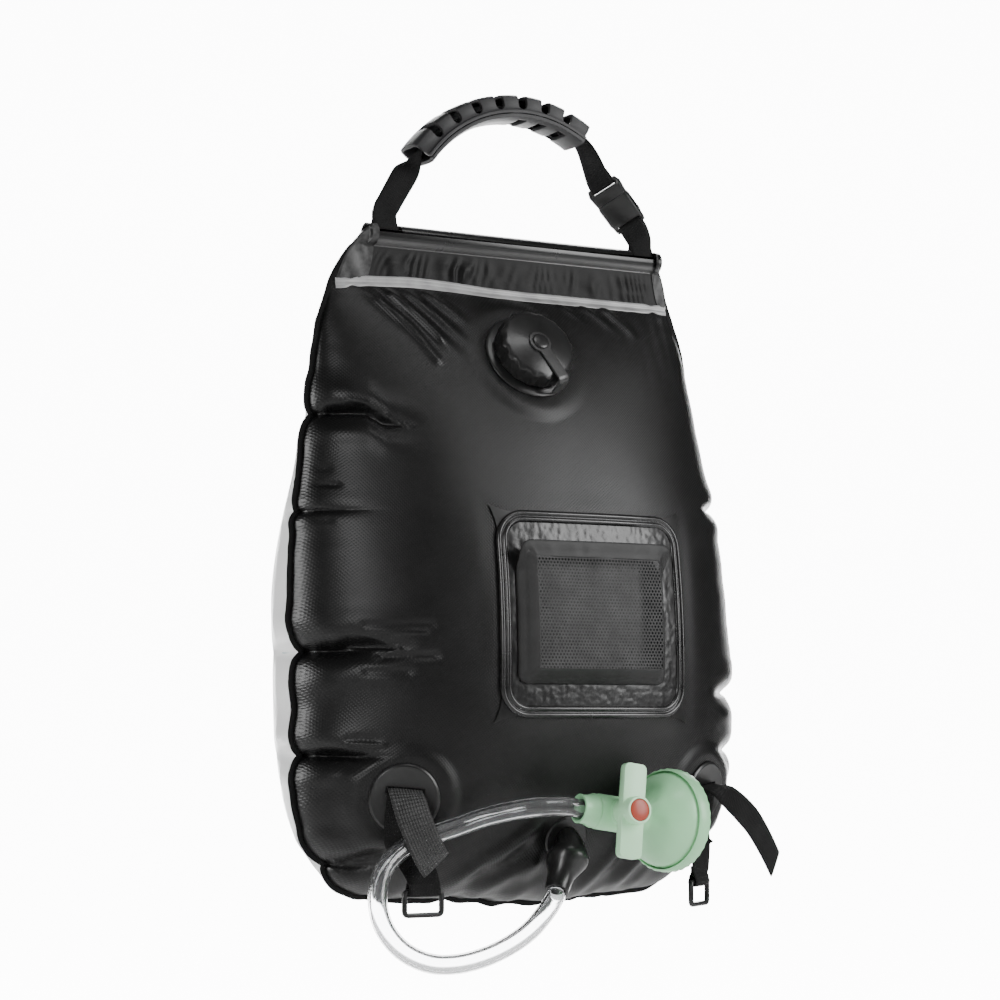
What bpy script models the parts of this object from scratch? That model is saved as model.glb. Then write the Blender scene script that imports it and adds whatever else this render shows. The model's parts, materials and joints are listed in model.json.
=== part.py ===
"""Camp shower bag: a hanging water bag with handle, filler cap, mesh pocket, hose and shower head.

Metres, +Z up, the front facing -Y. The origin is the point under the grip that hangs on a hook.
A "drop" is a distance below the origin, so it is a height with its sign turned round.
"""

import math

import bmesh
import bpy
from mathutils import Matrix, Vector

# Fits shared by all pieces
clearance = 0.0003
overrun = 0.004
slope_step = 0.001
smooth_angle = math.radians(35)

# Bag: heights, outline and fullness
rod_drop = 0.0985
weld_drop = 0.1365
seam_drop = 0.5965
bag_half_width = 0.188
corner_radius = 0.080
right_corner_radius = 0.105
side_lean = 0.010
lean_shares = ((0.0, 1.0), (0.20, 0.80), (0.50, 0.35), (0.62, 0.0), (1.0, 0.0))
front_bulge = 0.092
back_bulge = 0.094
film = 0.0012
seam_width = 0.006
half_seam_gap = clearance / 2
side_shares = (
    (-0.12, 0.66), (0.0, 0.787), (0.065, 0.835), (0.152, 0.87), (0.272, 0.915),
    (0.404, 0.965), (0.52, 0.985), (1.0, 0.975),
)
deepest_share = 0.62
crease_half_height = 0.0095
left_crease_shares = (0.2217, 0.5989, 0.7609, 0.9348)
left_crease_reaches = (0.060, 0.062, 0.036, 0.045)
left_crease_depths = (0.0110, 0.0095, 0.0080, 0.0080)
left_crease_pulls = (0.0060, 0.0085, 0.0070, 0.0065)
right_crease_shares = (0.6630, 0.7609, 0.9348)
right_crease_reaches = (0.048, 0.034, 0.040)
right_crease_depths = (0.0085, 0.0060, 0.0070)
right_crease_pulls = (0.0060, 0.0045, 0.0060)
back_crease_share = 0.6
column_count = 16
row_count = 18

# Sleeve and hanging rod
rod_radius = 0.005
rod_wall = 0.0015
sleeve_half_length = 0.131
rod_inset = 0.003
rod_half_length = sleeve_half_length - rod_inset
sleeve_wall = 0.001
slit_rise = 0.0015

# Handle webbing
handle_webbing_width = 0.020
webbing_thickness = 0.0015
strap_inset = 0.016
strap_place = sleeve_half_length - strap_inset
sewn_length = 0.007

# Grip
grip_radius = 0.1085
grip_left_angle = math.radians(54)
grip_right_angle = math.radians(31)
grip_half_thickness = 0.0103
grip_half_width = 0.0145
grip_wall = 0.0065
grip_flange = 0.0035
grip_flange_wall = 0.0017
grip_pocket = 0.0014
rib_count = 8
slot_width = 0.0068

# Side-release buckle
buckle_half_width = 0.014
buckle_half_thickness = 0.0048
buckle_tilt = math.radians(47)
buckle_twist = math.radians(50)
buckle_inset = 0.0264
buckle_place = strap_place - buckle_inset
buckle_drop = 0.0502
socket_length = 0.0215
socket_end = 0.0278
male_length = 0.0150
buckle_bar_half = 0.0013
buckle_wall = 0.0027
buckle_cavity_half = 0.0029
cavity_depth = 0.0172
window_low = 0.0080
window_high = 0.0155
tongue_half_width = 0.0026
tongue_length = 0.0145
prong_pivot_place = 0.0082
prong_pivot_depth = 0.0035
prong_half_width = 0.0016
prong_length = 0.0152
prong_catch = 0.0033

# Filler port and screw cap
port_place = -0.014
port_fall = 0.053
port_drop = weld_drop + port_fall
port_flange_radius = 0.036
port_flange_thickness = 0.0018
port_bore_radius = 0.0212
port_neck_radius = 0.0245
port_neck_height = 0.0150
gasket_thickness = 0.0012
cap_radius = 0.0310
cap_wall = 0.0032
cap_top = 0.0028
knurl_count = 16
knurl_depth = 0.0016
cap_boss_radius = 0.0045
cap_boss_height = 0.0024
cap_boss_head = 0.0013
tether_width = 0.0095
tether_thickness = 0.0016
tether_direction = math.radians(-69)

# Pocket
pocket_place = 0.016
pocket_height_share = 0.5413
pocket_drop = weld_drop + (seam_drop - weld_drop) * pocket_height_share
pocket_width = 0.164
pocket_height = 0.152
pocket_corner = 0.023
pocket_film = 0.0007
pocket_lift = 0.0001
bead_half_width = 0.0045
bead_height = 0.0020
tape_width = 0.129
tape_height = 0.103
tape_band = 0.012
tape_corner = 0.008
tape_thickness = 0.0012
tape_offset = -0.004
pocket_depth = 0.012
net_pitch = 0.0088
net_web = 0.0022
net_thickness = 0.0008

# Corner anchors, their straps and rings
anchor_place = 0.1295
anchor_rise = 0.077
anchor_drop = seam_drop - anchor_rise
anchor_radius = 0.026
anchor_thickness = 0.0022
anchor_slot_width = 0.028
anchor_slot_height = 0.0052
anchor_slot_rise = 0.006
strap_width = 0.025
ring_place = 0.119
ring_gap = 0.0109
ring_rise = 0.0115
ring_drop = seam_drop - ring_rise
ring_half_width = 0.0168
ring_height = 0.0205
ring_bar = 0.0036
ring_corner = 0.0028
ring_right_turn = math.radians(32)

# Outlet and hose
outlet_rise = 0.047
outlet_drop = seam_drop - outlet_rise
outlet_flange_radius = 0.0175
outlet_flange_thickness = 0.0016
outlet_root_radius = 0.0095
outlet_ridge_radius = 0.0155
outlet_neck_radius = 0.0086
outlet_length = 0.047
outlet_axis = Vector((-0.42, -0.42, -0.80)).normalized()
hose_radius = 0.0070

# Shut-off valve and shower head
head_across = 0.0068
head_rise = 0.066
head_gap = 0.0485
head_drop = seam_drop - head_rise
flow_axis = Vector((0.985, 0.0, -0.15)).normalized()
hub_hint = Vector((0.13, -0.985, 0.09))
spray_axis = Vector((0.95, 0.25, -0.09)).normalized()
collar_reach = 0.029
collar_radius = 0.0108
collar_mouth = 0.0015
body_half_length = 0.0160
body_radius = 0.0129
flow_bore = 0.0048
plug_radius = 0.0072
plug_low = 0.0087
plug_high = 0.0085
stem_radius = 0.0045
seal_radius = 0.0012
hub_radius = 0.0100
hub_low = 0.0153
hub_high = 0.0360
wing_low = 0.0215
wing_thickness = 0.0060
wing_width = 0.0185
wing_span = 0.0680
wing_corner = 0.0040
button_radius = 0.0079
button_depth = 0.0016
button_crown = 0.0009
bowl_depth = 0.042
bowl_radius = 0.0356
bowl_wall = 0.0020
neck_radius = 0.0118
plate_thickness = 0.0018
plate_radius = 0.0350
nozzle_radius = 0.0011
nozzle_pitch = 0.0078
rim_wall = 0.0014
rim_skirt = 0.0080
rim_lip = 0.0038
rim_teeth = 36
rim_tooth_depth = 0.0006

finishes = {
    "black_film": ((0.018, 0.018, 0.019, 1.0), 0.42, 0.0),
    "milky_film": ((0.80, 0.81, 0.80, 1.0), 0.35, 0.0),
    "sleeve_film": ((0.16, 0.16, 0.16, 1.0), 0.35, 0.0),
    "water": ((0.70, 0.80, 0.82, 1.0), 0.05, 0.0),
    "white_plastic": ((0.75, 0.75, 0.73, 1.0), 0.45, 0.0),
    "black_webbing": ((0.012, 0.012, 0.013, 1.0), 0.85, 0.0),
    "grip_rubber": ((0.055, 0.055, 0.057, 1.0), 0.60, 0.0),
    "black_plastic": ((0.014, 0.014, 0.015, 1.0), 0.38, 0.0),
    "clear_vinyl": ((0.10, 0.10, 0.10, 1.0), 0.15, 0.0),
    "pocket_tape": ((0.030, 0.030, 0.031, 1.0), 0.70, 0.0),
    "net_thread": ((0.020, 0.020, 0.021, 1.0), 0.75, 0.0),
    "clear_hose": ((0.78, 0.79, 0.80, 1.0), 0.12, 0.0),
    "mint_plastic": ((0.45, 0.74, 0.50, 1.0), 0.34, 0.0),
    "mint_lever": ((0.60, 0.86, 0.62, 1.0), 0.34, 0.0),
    "red_button": ((0.53, 0.11, 0.08, 1.0), 0.40, 0.0),
    "seal_rubber": ((0.03, 0.03, 0.03, 1.0), 0.80, 0.0),
}


def clear_scene():
    """Remove every object that the file opened with."""
    for item in list(bpy.data.objects):
        bpy.data.objects.remove(item, do_unlink=True)


def material(name):
    """The material of a named finish, made once."""
    found = bpy.data.materials.get(name)
    if found:
        return found
    colour, roughness, metallic = finishes[name]
    made = bpy.data.materials.new(name)
    made.use_nodes = True
    shader = made.node_tree.nodes["Principled BSDF"]
    shader.inputs["Base Color"].default_value = colour
    shader.inputs["Roughness"].default_value = roughness
    shader.inputs["Metallic"].default_value = metallic
    made.diffuse_color = colour
    return made


def axis_empty(name, place, parent=None):
    """An empty on a joint's axis, which carries the pieces that move about it."""
    empty = bpy.data.objects.new(name, None)
    bpy.context.collection.objects.link(empty)
    empty.location = Vector(place) - (parent["place"] if parent else Vector())
    empty.parent = parent["empty"] if parent else None
    return {"empty": empty, "place": Vector(place)}


def place_object(name, mesh, finish, carrier):
    """An object for a mesh whose points are in world metres, hung on a carrier's empty."""
    item = bpy.data.objects.new(name, mesh)
    bpy.context.collection.objects.link(item)
    if finish:
        mesh.materials.append(material(finish))
    if carrier:
        mesh.transform(Matrix.Translation(-carrier["place"]))
        item.parent = carrier["empty"]
    return item


def build(name, points, faces, finish, carrier=None):
    """One closed solid from points and faces, with its faces turned outwards."""
    mesh = bpy.data.meshes.new(name)
    mesh.from_pydata([tuple(point) for point in points], [], faces)
    shape = bmesh.new()
    shape.from_mesh(mesh)
    bmesh.ops.recalc_face_normals(shape, faces=shape.faces)
    if shape.calc_volume(signed=True) < 0:
        bmesh.ops.reverse_faces(shape, faces=shape.faces)
    shape.to_mesh(mesh)
    shape.free()
    mesh.shade_smooth()
    mesh.set_sharp_from_angle(angle=smooth_angle)
    return place_object(name, mesh, finish, carrier)


def loft(name, rings, finish, carrier=None, closed=False):
    """A solid through rings of equal length; closed joins the last ring to the first."""
    size = len(rings[0])
    points = [point for ring in rings for point in ring]
    faces = []
    spans = len(rings) if closed else len(rings) - 1
    for span in range(spans):
        low = span * size
        high = (span + 1) % len(rings) * size
        for index in range(size):
            following = (index + 1) % size
            faces.append((low + index, low + following, high + following, high + index))
    if not closed:
        faces.append(tuple(reversed(range(size))))
        faces.append(tuple(range(len(points) - size, len(points))))
    return build(name, points, faces, finish, carrier)


def frame_of(origin, axis, across):
    """A frame with Z along axis and X as near to across as it can be."""
    z_axis = Vector(axis).normalized()
    x_axis = Vector(across)
    x_axis = (x_axis - z_axis * x_axis.dot(z_axis)).normalized()
    frame = Matrix((x_axis, z_axis.cross(x_axis), z_axis)).transposed().to_4x4()
    frame.translation = Vector(origin)
    return frame


def circle(frame, radius, height, steps, bump=None):
    """Points round a frame's Z axis; bump(index) adds to the radius."""
    ring = []
    for index in range(steps):
        angle = 2 * math.pi * index / steps
        reach = radius + (bump(index) if bump else 0)
        ring.append(frame @ Vector((reach * math.cos(angle), reach * math.sin(angle), height)))
    return ring


def turned(name, profile, steps, frame, finish, carrier=None, hollow=False):
    """A turned solid from (radius, height) points; hollow closes the profile on itself."""
    rings = [circle(frame, radius, height, steps) for radius, height in profile]
    return loft(name, rings, finish, carrier, closed=hollow)


def block(name, low, high, frame, finish=None, carrier=None):
    """A box between two corners of a frame."""
    rings = []
    for height in (low[2], high[2]):
        corners = ((low[0], low[1]), (high[0], low[1]), (high[0], high[1]), (low[0], high[1]))
        rings.append([frame @ Vector((x, y, height)) for x, y in corners])
    return loft(name, rings, finish, carrier)


def holed_sheet(name, loops, place, levels, finish, carrier=None):
    """A sheet between two levels from flat loops, the first one outside and the rest holes.

    place(across, along, level) puts each flat point where it lies on the object.
    """
    flat = bmesh.new()
    for loop in loops:
        corners = [flat.verts.new((across, along, 0)) for across, along in loop]
        for index, corner in enumerate(corners):
            flat.edges.new((corner, corners[(index + 1) % len(corners)]))
    bmesh.ops.triangle_fill(
        flat, use_beauty=True, use_dissolve=False, edges=flat.edges[:], normal=(0, 0, 1))
    flat.verts.ensure_lookup_table()
    flat.verts.index_update()
    count = len(flat.verts)
    points = [place(vert.co.x, vert.co.y, level) for level in levels for vert in flat.verts]
    faces = []
    for face in flat.faces:
        corners = [vert.index for vert in face.verts]
        faces.append(tuple(corners))
        faces.append(tuple(count + corner for corner in reversed(corners)))
    start = 0
    for loop in loops:
        size = len(loop)
        for index in range(size):
            first, second = start + index, start + (index + 1) % size
            faces.append((first, second, count + second, count + first))
        start += size
    flat.free()
    return build(name, points, faces, finish, carrier)


def extruded(name, loops, low, high, frame, finish=None, carrier=None):
    """A straight extrusion of flat loops along a frame's Z axis."""
    def place(across, along, level):
        return frame @ Vector((across, along, level))

    return holed_sheet(name, loops, place, (low, high), finish, carrier)


def modify(target, tool, operation):
    """Apply a hidden tool solid to a target: a cut or a union."""
    tool.hide_render = True
    tool.display_type = "WIRE"
    change = target.modifiers.new(tool.name, "BOOLEAN")
    change.operation = operation
    change.solver = "EXACT"
    change.object = tool


def rounded_rectangle(width, height, radius, corner_steps, side_steps=1):
    """Points of a rounded rectangle about zero, anticlockwise from its lower right corner."""
    points = []
    centres = ((1, -1, -90), (1, 1, 0), (-1, 1, 90), (-1, -1, 180))
    for across, along, start in centres:
        centre_x = across * (width / 2 - radius)
        centre_y = along * (height / 2 - radius)
        for step in range(corner_steps + 1):
            angle = math.radians(start + 90 * step / corner_steps)
            points.append((centre_x + radius * math.cos(angle), centre_y + radius * math.sin(angle)))
    if side_steps == 1:
        return points
    divided = []
    for index, point in enumerate(points):
        following = points[(index + 1) % len(points)]
        steps = side_steps if index % (corner_steps + 1) == corner_steps else 1
        for step in range(steps):
            share = step / steps
            divided.append((
                point[0] + (following[0] - point[0]) * share,
                point[1] + (following[1] - point[1]) * share,
            ))
    return divided


def round_loop(radius, steps, start=0):
    """Flat points of a circle about zero."""
    angles = [math.radians(start) + 2 * math.pi * index / steps for index in range(steps)]
    return [(radius * math.cos(angle), radius * math.sin(angle)) for angle in angles]


def curved_path(first, first_pull, last, last_pull, steps):
    """Points of a smooth run between two places, leaving and arriving along the pulls."""
    points = []
    for step in range(steps + 1):
        t = step / steps
        near = 2 * t ** 3 - 3 * t ** 2 + 1
        far = 1 - near
        leave = t ** 3 - 2 * t ** 2 + t
        arrive = t ** 3 - t ** 2
        points.append(first * near + last * far + first_pull * leave + last_pull * arrive)
    return points


def ribbon(name, stations, width, thickness, finish, carrier=None, closed=False):
    """A flat strap through (point, width direction) stations."""
    rings = []
    count = len(stations)
    for index, (point, wide) in enumerate(stations):
        before = stations[(index - 1) % count if closed else max(index - 1, 0)][0]
        after = stations[(index + 1) % count if closed else min(index + 1, count - 1)][0]
        along = (after - before).normalized()
        wide = (wide - along * wide.dot(along)).normalized()
        deep = along.cross(wide)
        corners = ((-1, -1), (1, -1), (1, 1), (-1, 1))
        rings.append([
            point + wide * (width / 2 * across) + deep * (thickness / 2 * through)
            for across, through in corners
        ])
    return loft(name, rings, finish, carrier, closed=closed)


def turn_widths(points, first_wide, last_wide):
    """Stations for a strap whose width direction turns evenly along its points."""
    stations = []
    for index, point in enumerate(points):
        share = index / (len(points) - 1)
        stations.append((point, first_wide * (1 - share) + last_wide * share))
    return stations


# Shape of the filled bag

def smooth_share(table, place):
    """A value between a table's shares, on a smooth curve."""
    last = len(table) - 1
    index = 0
    while index < last - 1 and place > table[index + 1][0]:
        index += 1

    def slope(at):
        low, high = max(at - 1, 0), min(at + 1, last)
        return (table[high][1] - table[low][1]) / (table[high][0] - table[low][0])

    (start, low_value), (end, high_value) = table[index], table[index + 1]
    span = end - start
    t = min(max((place - start) / span, 0), 1)
    near = 2 * t ** 3 - 3 * t ** 2 + 1
    leave = (t ** 3 - 2 * t ** 2 + t) * span
    arrive = (t ** 3 - t ** 2) * span
    return low_value * near + high_value * (1 - near) + slope(index) * leave + slope(index + 1) * arrive


def half_width(drop, side):
    """The bag's width to one side of its middle at a height, with its round lower corner."""
    share = (drop - weld_drop) / (seam_drop - weld_drop)
    width = bag_half_width * smooth_share(side_shares, share)
    lean = side_lean * smooth_share(lean_shares, max(share, 0))
    corner = corner_radius
    if side > 0:
        lean = -lean
        corner = right_corner_radius
    rise = max(seam_drop - drop, 0)
    if rise < corner:
        width -= corner - math.sqrt(corner ** 2 - (corner - rise) ** 2)
    return width + lean


def swell(across, drop, bulge, fullness):
    """How far the film stands out from the seam plane, before any fitting flattens it."""
    share = (drop - weld_drop) / (seam_drop - weld_drop)
    if share <= 0 or share >= 1:
        return 0
    if share < deepest_share:
        upright = (1 - (1 - share / deepest_share) ** 2) ** 0.75
    else:
        upright = (1 - (1 - (1 - share) / (1 - deepest_share)) ** 2) ** 0.34
    edge = min(abs(across) / half_width(drop, across), 1)
    return bulge * upright * (1 - edge ** fullness) ** 0.55


def front_swell(across, drop):
    return swell(across, drop, front_bulge, 2.6)


def back_swell(across, drop):
    return swell(across, drop, back_bulge, 3.2)


def flat_seat(across, drop, radius, blend):
    """A flat place welded to the front film: its plane and how far it reaches."""
    depth = front_swell(across, drop)
    slope_across = (front_swell(across + slope_step, drop) - front_swell(across - slope_step, drop)) \
        / (2 * slope_step)
    slope_drop = (front_swell(across, drop + slope_step) - front_swell(across, drop - slope_step)) \
        / (2 * slope_step)
    return {
        "across": across, "drop": drop, "depth": depth, "radius": radius, "blend": blend,
        "slope_across": slope_across, "slope_drop": slope_drop,
    }


port_seat = flat_seat(port_place, port_drop, port_flange_radius * 1.06, port_flange_radius * 1.45)
anchor_seats = [
    flat_seat(side * anchor_place, anchor_drop, anchor_radius * 1.1, anchor_radius * 1.6)
    for side in (-1, 1)
]
outlet_seat = flat_seat(0, outlet_drop, outlet_flange_radius * 1.1, outlet_flange_radius * 1.8)
seats = [port_seat, outlet_seat] + anchor_seats
shower_depth = front_swell(head_across, head_drop)
head_place = Vector((head_across, -(shower_depth + head_gap), -head_drop))


def side_creases(side):
    """The creases of one side: height, reach, depth and pull of each."""
    rows = zip(left_crease_shares, left_crease_reaches, left_crease_depths, left_crease_pulls)
    if side > 0:
        rows = zip(right_crease_shares, right_crease_reaches, right_crease_depths, right_crease_pulls)
    return [(weld_drop + (seam_drop - weld_drop) * share, *sizes) for share, *sizes in rows]


def crease_depth(across, drop):
    """How far the creases pull the film back, clear of the welded fittings."""
    total = 0
    inward = half_width(drop, across) - abs(across)
    for low, reach, depth, _ in side_creases(across):
        off = abs(drop - low) / crease_half_height
        fade = min(max(1.1 - inward / (1.4 * reach), 0), 1)
        if off < 1:
            total += depth * (1 - off) * fade * min(inward / reach * 3, 1)
    for seat in seats:
        away = math.hypot(across - seat["across"], drop - seat["drop"])
        total *= min(max((away - seat["radius"]) / (seat["blend"] - seat["radius"]), 0), 1)
    return total


def seam_pull(side, drop):
    """How far the creases of one side pull its seam inwards."""
    total = 0
    for low, _, _, pull in side_creases(side):
        total += pull * max(1 - abs(drop - low) / crease_half_height, 0)
    return total


def back_depth(across, drop):
    """Distance of the back film's outer face from the seam plane."""
    return max(back_swell(across, drop) - crease_depth(across, drop) * back_crease_share, 0)


def front_depth(across, drop):
    """Distance of the front film's outer face from the seam plane."""
    depth = max(front_swell(across, drop) - crease_depth(across, drop), 0)
    for seat in seats:
        off_across, off_drop = across - seat["across"], drop - seat["drop"]
        away = math.hypot(off_across, off_drop)
        if away < seat["blend"]:
            plane = seat["depth"] + off_across * seat["slope_across"] + off_drop * seat["slope_drop"]
            t = min(max((seat["blend"] - away) / (seat["blend"] - seat["radius"]), 0), 1)
            depth += (plane - depth) * t * t * (3 - 2 * t)
    return depth


def film_face(across, drop, lift=0):
    """A point on the front film's outer face, lifted off it along its normal."""
    slope_across = (front_depth(across + slope_step, drop) - front_depth(across - slope_step, drop)) \
        / (2 * slope_step)
    slope_drop = (front_depth(across, drop + slope_step) - front_depth(across, drop - slope_step)) \
        / (2 * slope_step)
    outward = Vector((-slope_across, -1, slope_drop)).normalized()
    base = Vector((across, -(half_seam_gap + film + front_depth(across, drop)), -drop))
    return base + outward * lift


def seat_frame(seat):
    """A frame on a flat seat of the front film: Z outwards, X across, Y up the film."""
    outward = Vector((-seat["slope_across"], -1, seat["slope_drop"]))
    return frame_of(film_face(seat["across"], seat["drop"]), outward, Vector((1, 0, 0)))


def grid_rows(top_drop):
    """Heights of the film's rows, closer together near the weld and the lower seam."""
    rows = [] if top_drop is None else [top_drop]
    for index in range(row_count + 1):
        even = index / row_count
        eased = 0.5 - 0.5 * math.cos(math.pi * even)
        rows.append(weld_drop + (seam_drop - weld_drop) * (0.45 * even + 0.55 * eased))
    lows = {low for side in (-1, 1) for low, *_ in side_creases(side)}
    kept = [
        row for row in rows
        if row <= weld_drop or row >= seam_drop
        or all(abs(row - low) > crease_half_height * 1.5 for low in lows)
    ]
    for low in lows:
        kept += [low - crease_half_height, low, low + crease_half_height]
    return sorted(kept)


def grid_columns():
    """Shares of the half width for the film's columns, closer together at the sides."""
    shares = []
    for index in range(column_count + 1):
        even = 2 * index / column_count - 1
        shares.append(0.4 * even + 0.6 * math.sin(even * math.pi / 2))
    return shares


def border(rows, columns):
    """Grid indices round the edge of a grid, in one direction."""
    across = columns - 1
    return (
        [(0, column) for column in range(across)] + [(row, across) for row in range(rows - 1)]
        + [(rows - 1, column) for column in range(across, 0, -1)]
        + [(row, 0) for row in range(rows - 1, 0, -1)]
    )


def grid_triangles(rows, columns):
    """Grid indices of each cell's two triangles, with diagonals mirrored about the middle."""
    cells = []
    for row in range(rows - 1):
        for column in range(columns - 1):
            corners = [(row, column), (row, column + 1), (row + 1, column + 1), (row + 1, column)]
            if 2 * column < columns - 1:
                corners = corners[1:] + corners[:1]
            cells.append((corners[0], corners[1], corners[2]))
            cells.append((corners[0], corners[2], corners[3]))
    return cells


def film_panel(name, side, depth_of, finish, carrier):
    """One half of the bag: a thin bowl with a flat seam round it and a web up to the sleeve."""
    web_top = rod_drop + rod_sleeve_radius() + 2 * sleeve_wall + clearance
    rows = grid_rows(web_top + seam_width)
    shares = grid_columns()
    middle = (rows[0] + rows[-1]) / 2
    shrink = 1 - 2 * film / (rows[-1] - rows[0])
    outer, inner = [], []
    for drop in rows:
        for share in shares:
            width = half_width(drop, share)
            depth = depth_of(share * width, drop)
            seam = width - seam_pull(share, drop)
            outer.append(Vector((share * seam, side * (half_seam_gap + film + depth), -drop)))
            height = -(middle + (drop - middle) * shrink)
            inner.append(Vector((share * (seam - film), side * (half_seam_gap + depth), height)))
    edge = border(len(rows), len(shares))
    size = len(shares)
    edge_points = [outer[row * size + column] for row, column in edge]
    rims = [[], []]
    for index, point in enumerate(edge_points):
        after = edge_points[(index + 1) % len(edge_points)]
        along = (after - edge_points[index - 1]).normalized()
        outward = Vector((-along.z, 0, along.x)) * seam_width
        if outward.dot(Vector((point.x, 0, point.z + middle))) < 0:
            outward = -outward
        rims[0].append(Vector((point.x, side * (half_seam_gap + film), point.z)) + outward)
        rims[1].append(Vector((point.x, side * half_seam_gap, point.z)) + outward)
    points = outer + inner + rims[0] + rims[1]
    faces = []
    layer = len(outer)
    for start, flip in ((0, 1), (layer, -1)):
        for cell in grid_triangles(len(rows), size):
            corners = [start + row * size + column for row, column in cell]
            faces.append(tuple(corners[::flip]))
    first_rim, second_rim = 2 * layer, 2 * layer + len(edge)
    for index, (row, column) in enumerate(edge):
        following = (index + 1) % len(edge)
        here = row * size + column
        there = edge[following][0] * size + edge[following][1]
        faces.append((here, there, first_rim + following, first_rim + index))
        faces.append((first_rim + index, first_rim + following, second_rim + following, second_rim + index))
        faces.append((second_rim + index, second_rim + following, layer + there, layer + here))
    return build(name, points, faces, finish, carrier)


def water_depth(depth):
    """Depth of the water behind film at a depth: two clearances less where the bag is full."""
    return depth ** 2 / (depth + 2 * clearance)


def water_fill(carrier):
    """The water inside, which gives the full bag its shape and its mass."""
    rows = grid_rows(None)
    shares = grid_columns()
    middle = (rows[0] + rows[-1]) / 2
    inset = film + 2 * clearance
    shrink = 1 - 2 * inset / (rows[-1] - rows[0])
    points = {}
    for row, drop in enumerate(rows):
        for column, share in enumerate(shares):
            width = half_width(drop, share)
            height = -(middle + (drop - middle) * shrink)
            front = -water_depth(front_depth(share * width, drop))
            back = water_depth(back_depth(share * width, drop))
            seam = width - seam_pull(share, drop)
            for side, depth in ((0, front), (1, back)):
                points[side, row, column] = Vector((share * (seam - inset), depth, height))
    edge = set(border(len(rows), len(shares)))
    listed, numbers = [], {}
    for key, point in points.items():
        side, row, column = key
        if side == 1 and (row, column) in edge:
            numbers[key] = numbers[0, row, column]
            continue
        if (row, column) in edge:
            point.y = 0
        numbers[key] = len(listed)
        listed.append(point)
    faces = []
    for side in (0, 1):
        for cell in grid_triangles(len(rows), len(shares)):
            corners = [numbers[(side,) + corner] for corner in cell]
            faces.append(tuple(corners if side == 0 else reversed(corners)))
    return build("water_fill", listed, faces, "water", carrier)


# Sleeve and rod

def rod_loop_radius():
    """Middle of a strap that goes round the rod."""
    return rod_radius + clearance + webbing_thickness / 2


def rod_sleeve_radius():
    """Inner radius of the sleeve, clear of the straps round the rod."""
    return rod_loop_radius() + webbing_thickness / 2 + 2 * clearance


def rod_frame(place=0):
    """A frame on the rod: Z along it, X forwards, Y up."""
    return frame_of(Vector((place, 0, -rod_drop)), Vector((1, 0, 0)), Vector((0, -1, 0)))


def rod_sleeve(carrier):
    """The hem tube at the top, slit where the handle's straps go round the rod."""
    outer = rod_sleeve_radius() + sleeve_wall
    steps = 24
    tail = film + half_seam_gap
    start = math.asin(tail / outer)
    loop = []
    for index in range(steps):
        angle = -math.pi / 2 + start + (2 * math.pi - 2 * start) * index / (steps - 1)
        loop.append((outer * math.cos(angle), outer * math.sin(angle)))
    loop += [(-tail, -outer - sleeve_wall), (tail, -outer - sleeve_wall)]
    frame = frame_of(Vector((0, 0, -rod_drop)), Vector((1, 0, 0)), Vector((0, 1, 0)))
    bore = round_loop(rod_sleeve_radius(), 20)
    sleeve = extruded(
        "rod_sleeve", [loop, bore], -sleeve_half_length, sleeve_half_length, frame,
        "sleeve_film", carrier)
    for side in (-1, 1):
        half_slit = handle_webbing_width / 2 + 5 * clearance
        low = Vector((-outer - overrun, slit_rise, side * strap_place - half_slit))
        high = Vector((outer + overrun, outer + overrun, side * strap_place + half_slit))
        modify(sleeve, block("sleeve_slit_cutter", low, high, frame, None, carrier), "DIFFERENCE")


def hanging_rod(carrier):
    """The plastic tube that stiffens the top of the bag."""
    loops = [round_loop(rod_radius, 18), round_loop(rod_radius - rod_wall, 12)]
    extruded(
        "hanging_rod", loops, -rod_half_length, rod_half_length, rod_frame(), "white_plastic", carrier)


# Handle

def arch_frame(angle):
    """A frame on the grip's arch: X forwards, Y away from its centre, Z along it."""
    radial = Vector((math.sin(angle), 0, math.cos(angle)))
    along = Vector((math.cos(angle), 0, -math.sin(angle)))
    centre = Vector((0, 0, grip_half_thickness - grip_radius))
    return frame_of(centre + radial * grip_radius, along, Vector((0, -1, 0)))


def grip_section():
    """The folded wrap: an open C whose two edges meet as flanges along the front."""
    half, tall = grip_half_width, grip_half_thickness
    edge = half + grip_flange
    upper = [
        (edge, grip_flange_wall * 1.9), (half * 0.93, tall * 0.52), (half * 0.78, tall * 0.86),
        (half * 0.42, tall), (-half * 0.42, tall), (-half * 0.82, tall * 0.80), (-half, tall * 0.3),
    ]
    lower = [(across, -along) for across, along in reversed(upper)]
    pocket = handle_webbing_width / 2 + 4 * clearance
    inner = [
        (edge, -grip_pocket), (pocket, -grip_pocket), (-pocket, -grip_pocket),
        (-pocket, grip_pocket), (pocket, grip_pocket), (edge, grip_pocket),
    ]
    return upper + lower + inner


def rib_angles():
    """The middles of the slots between the ribs, along the arch."""
    whole = grip_left_angle + grip_right_angle
    return [-grip_left_angle + whole * (index + 1) / rib_count for index in range(rib_count - 1)]


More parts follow.
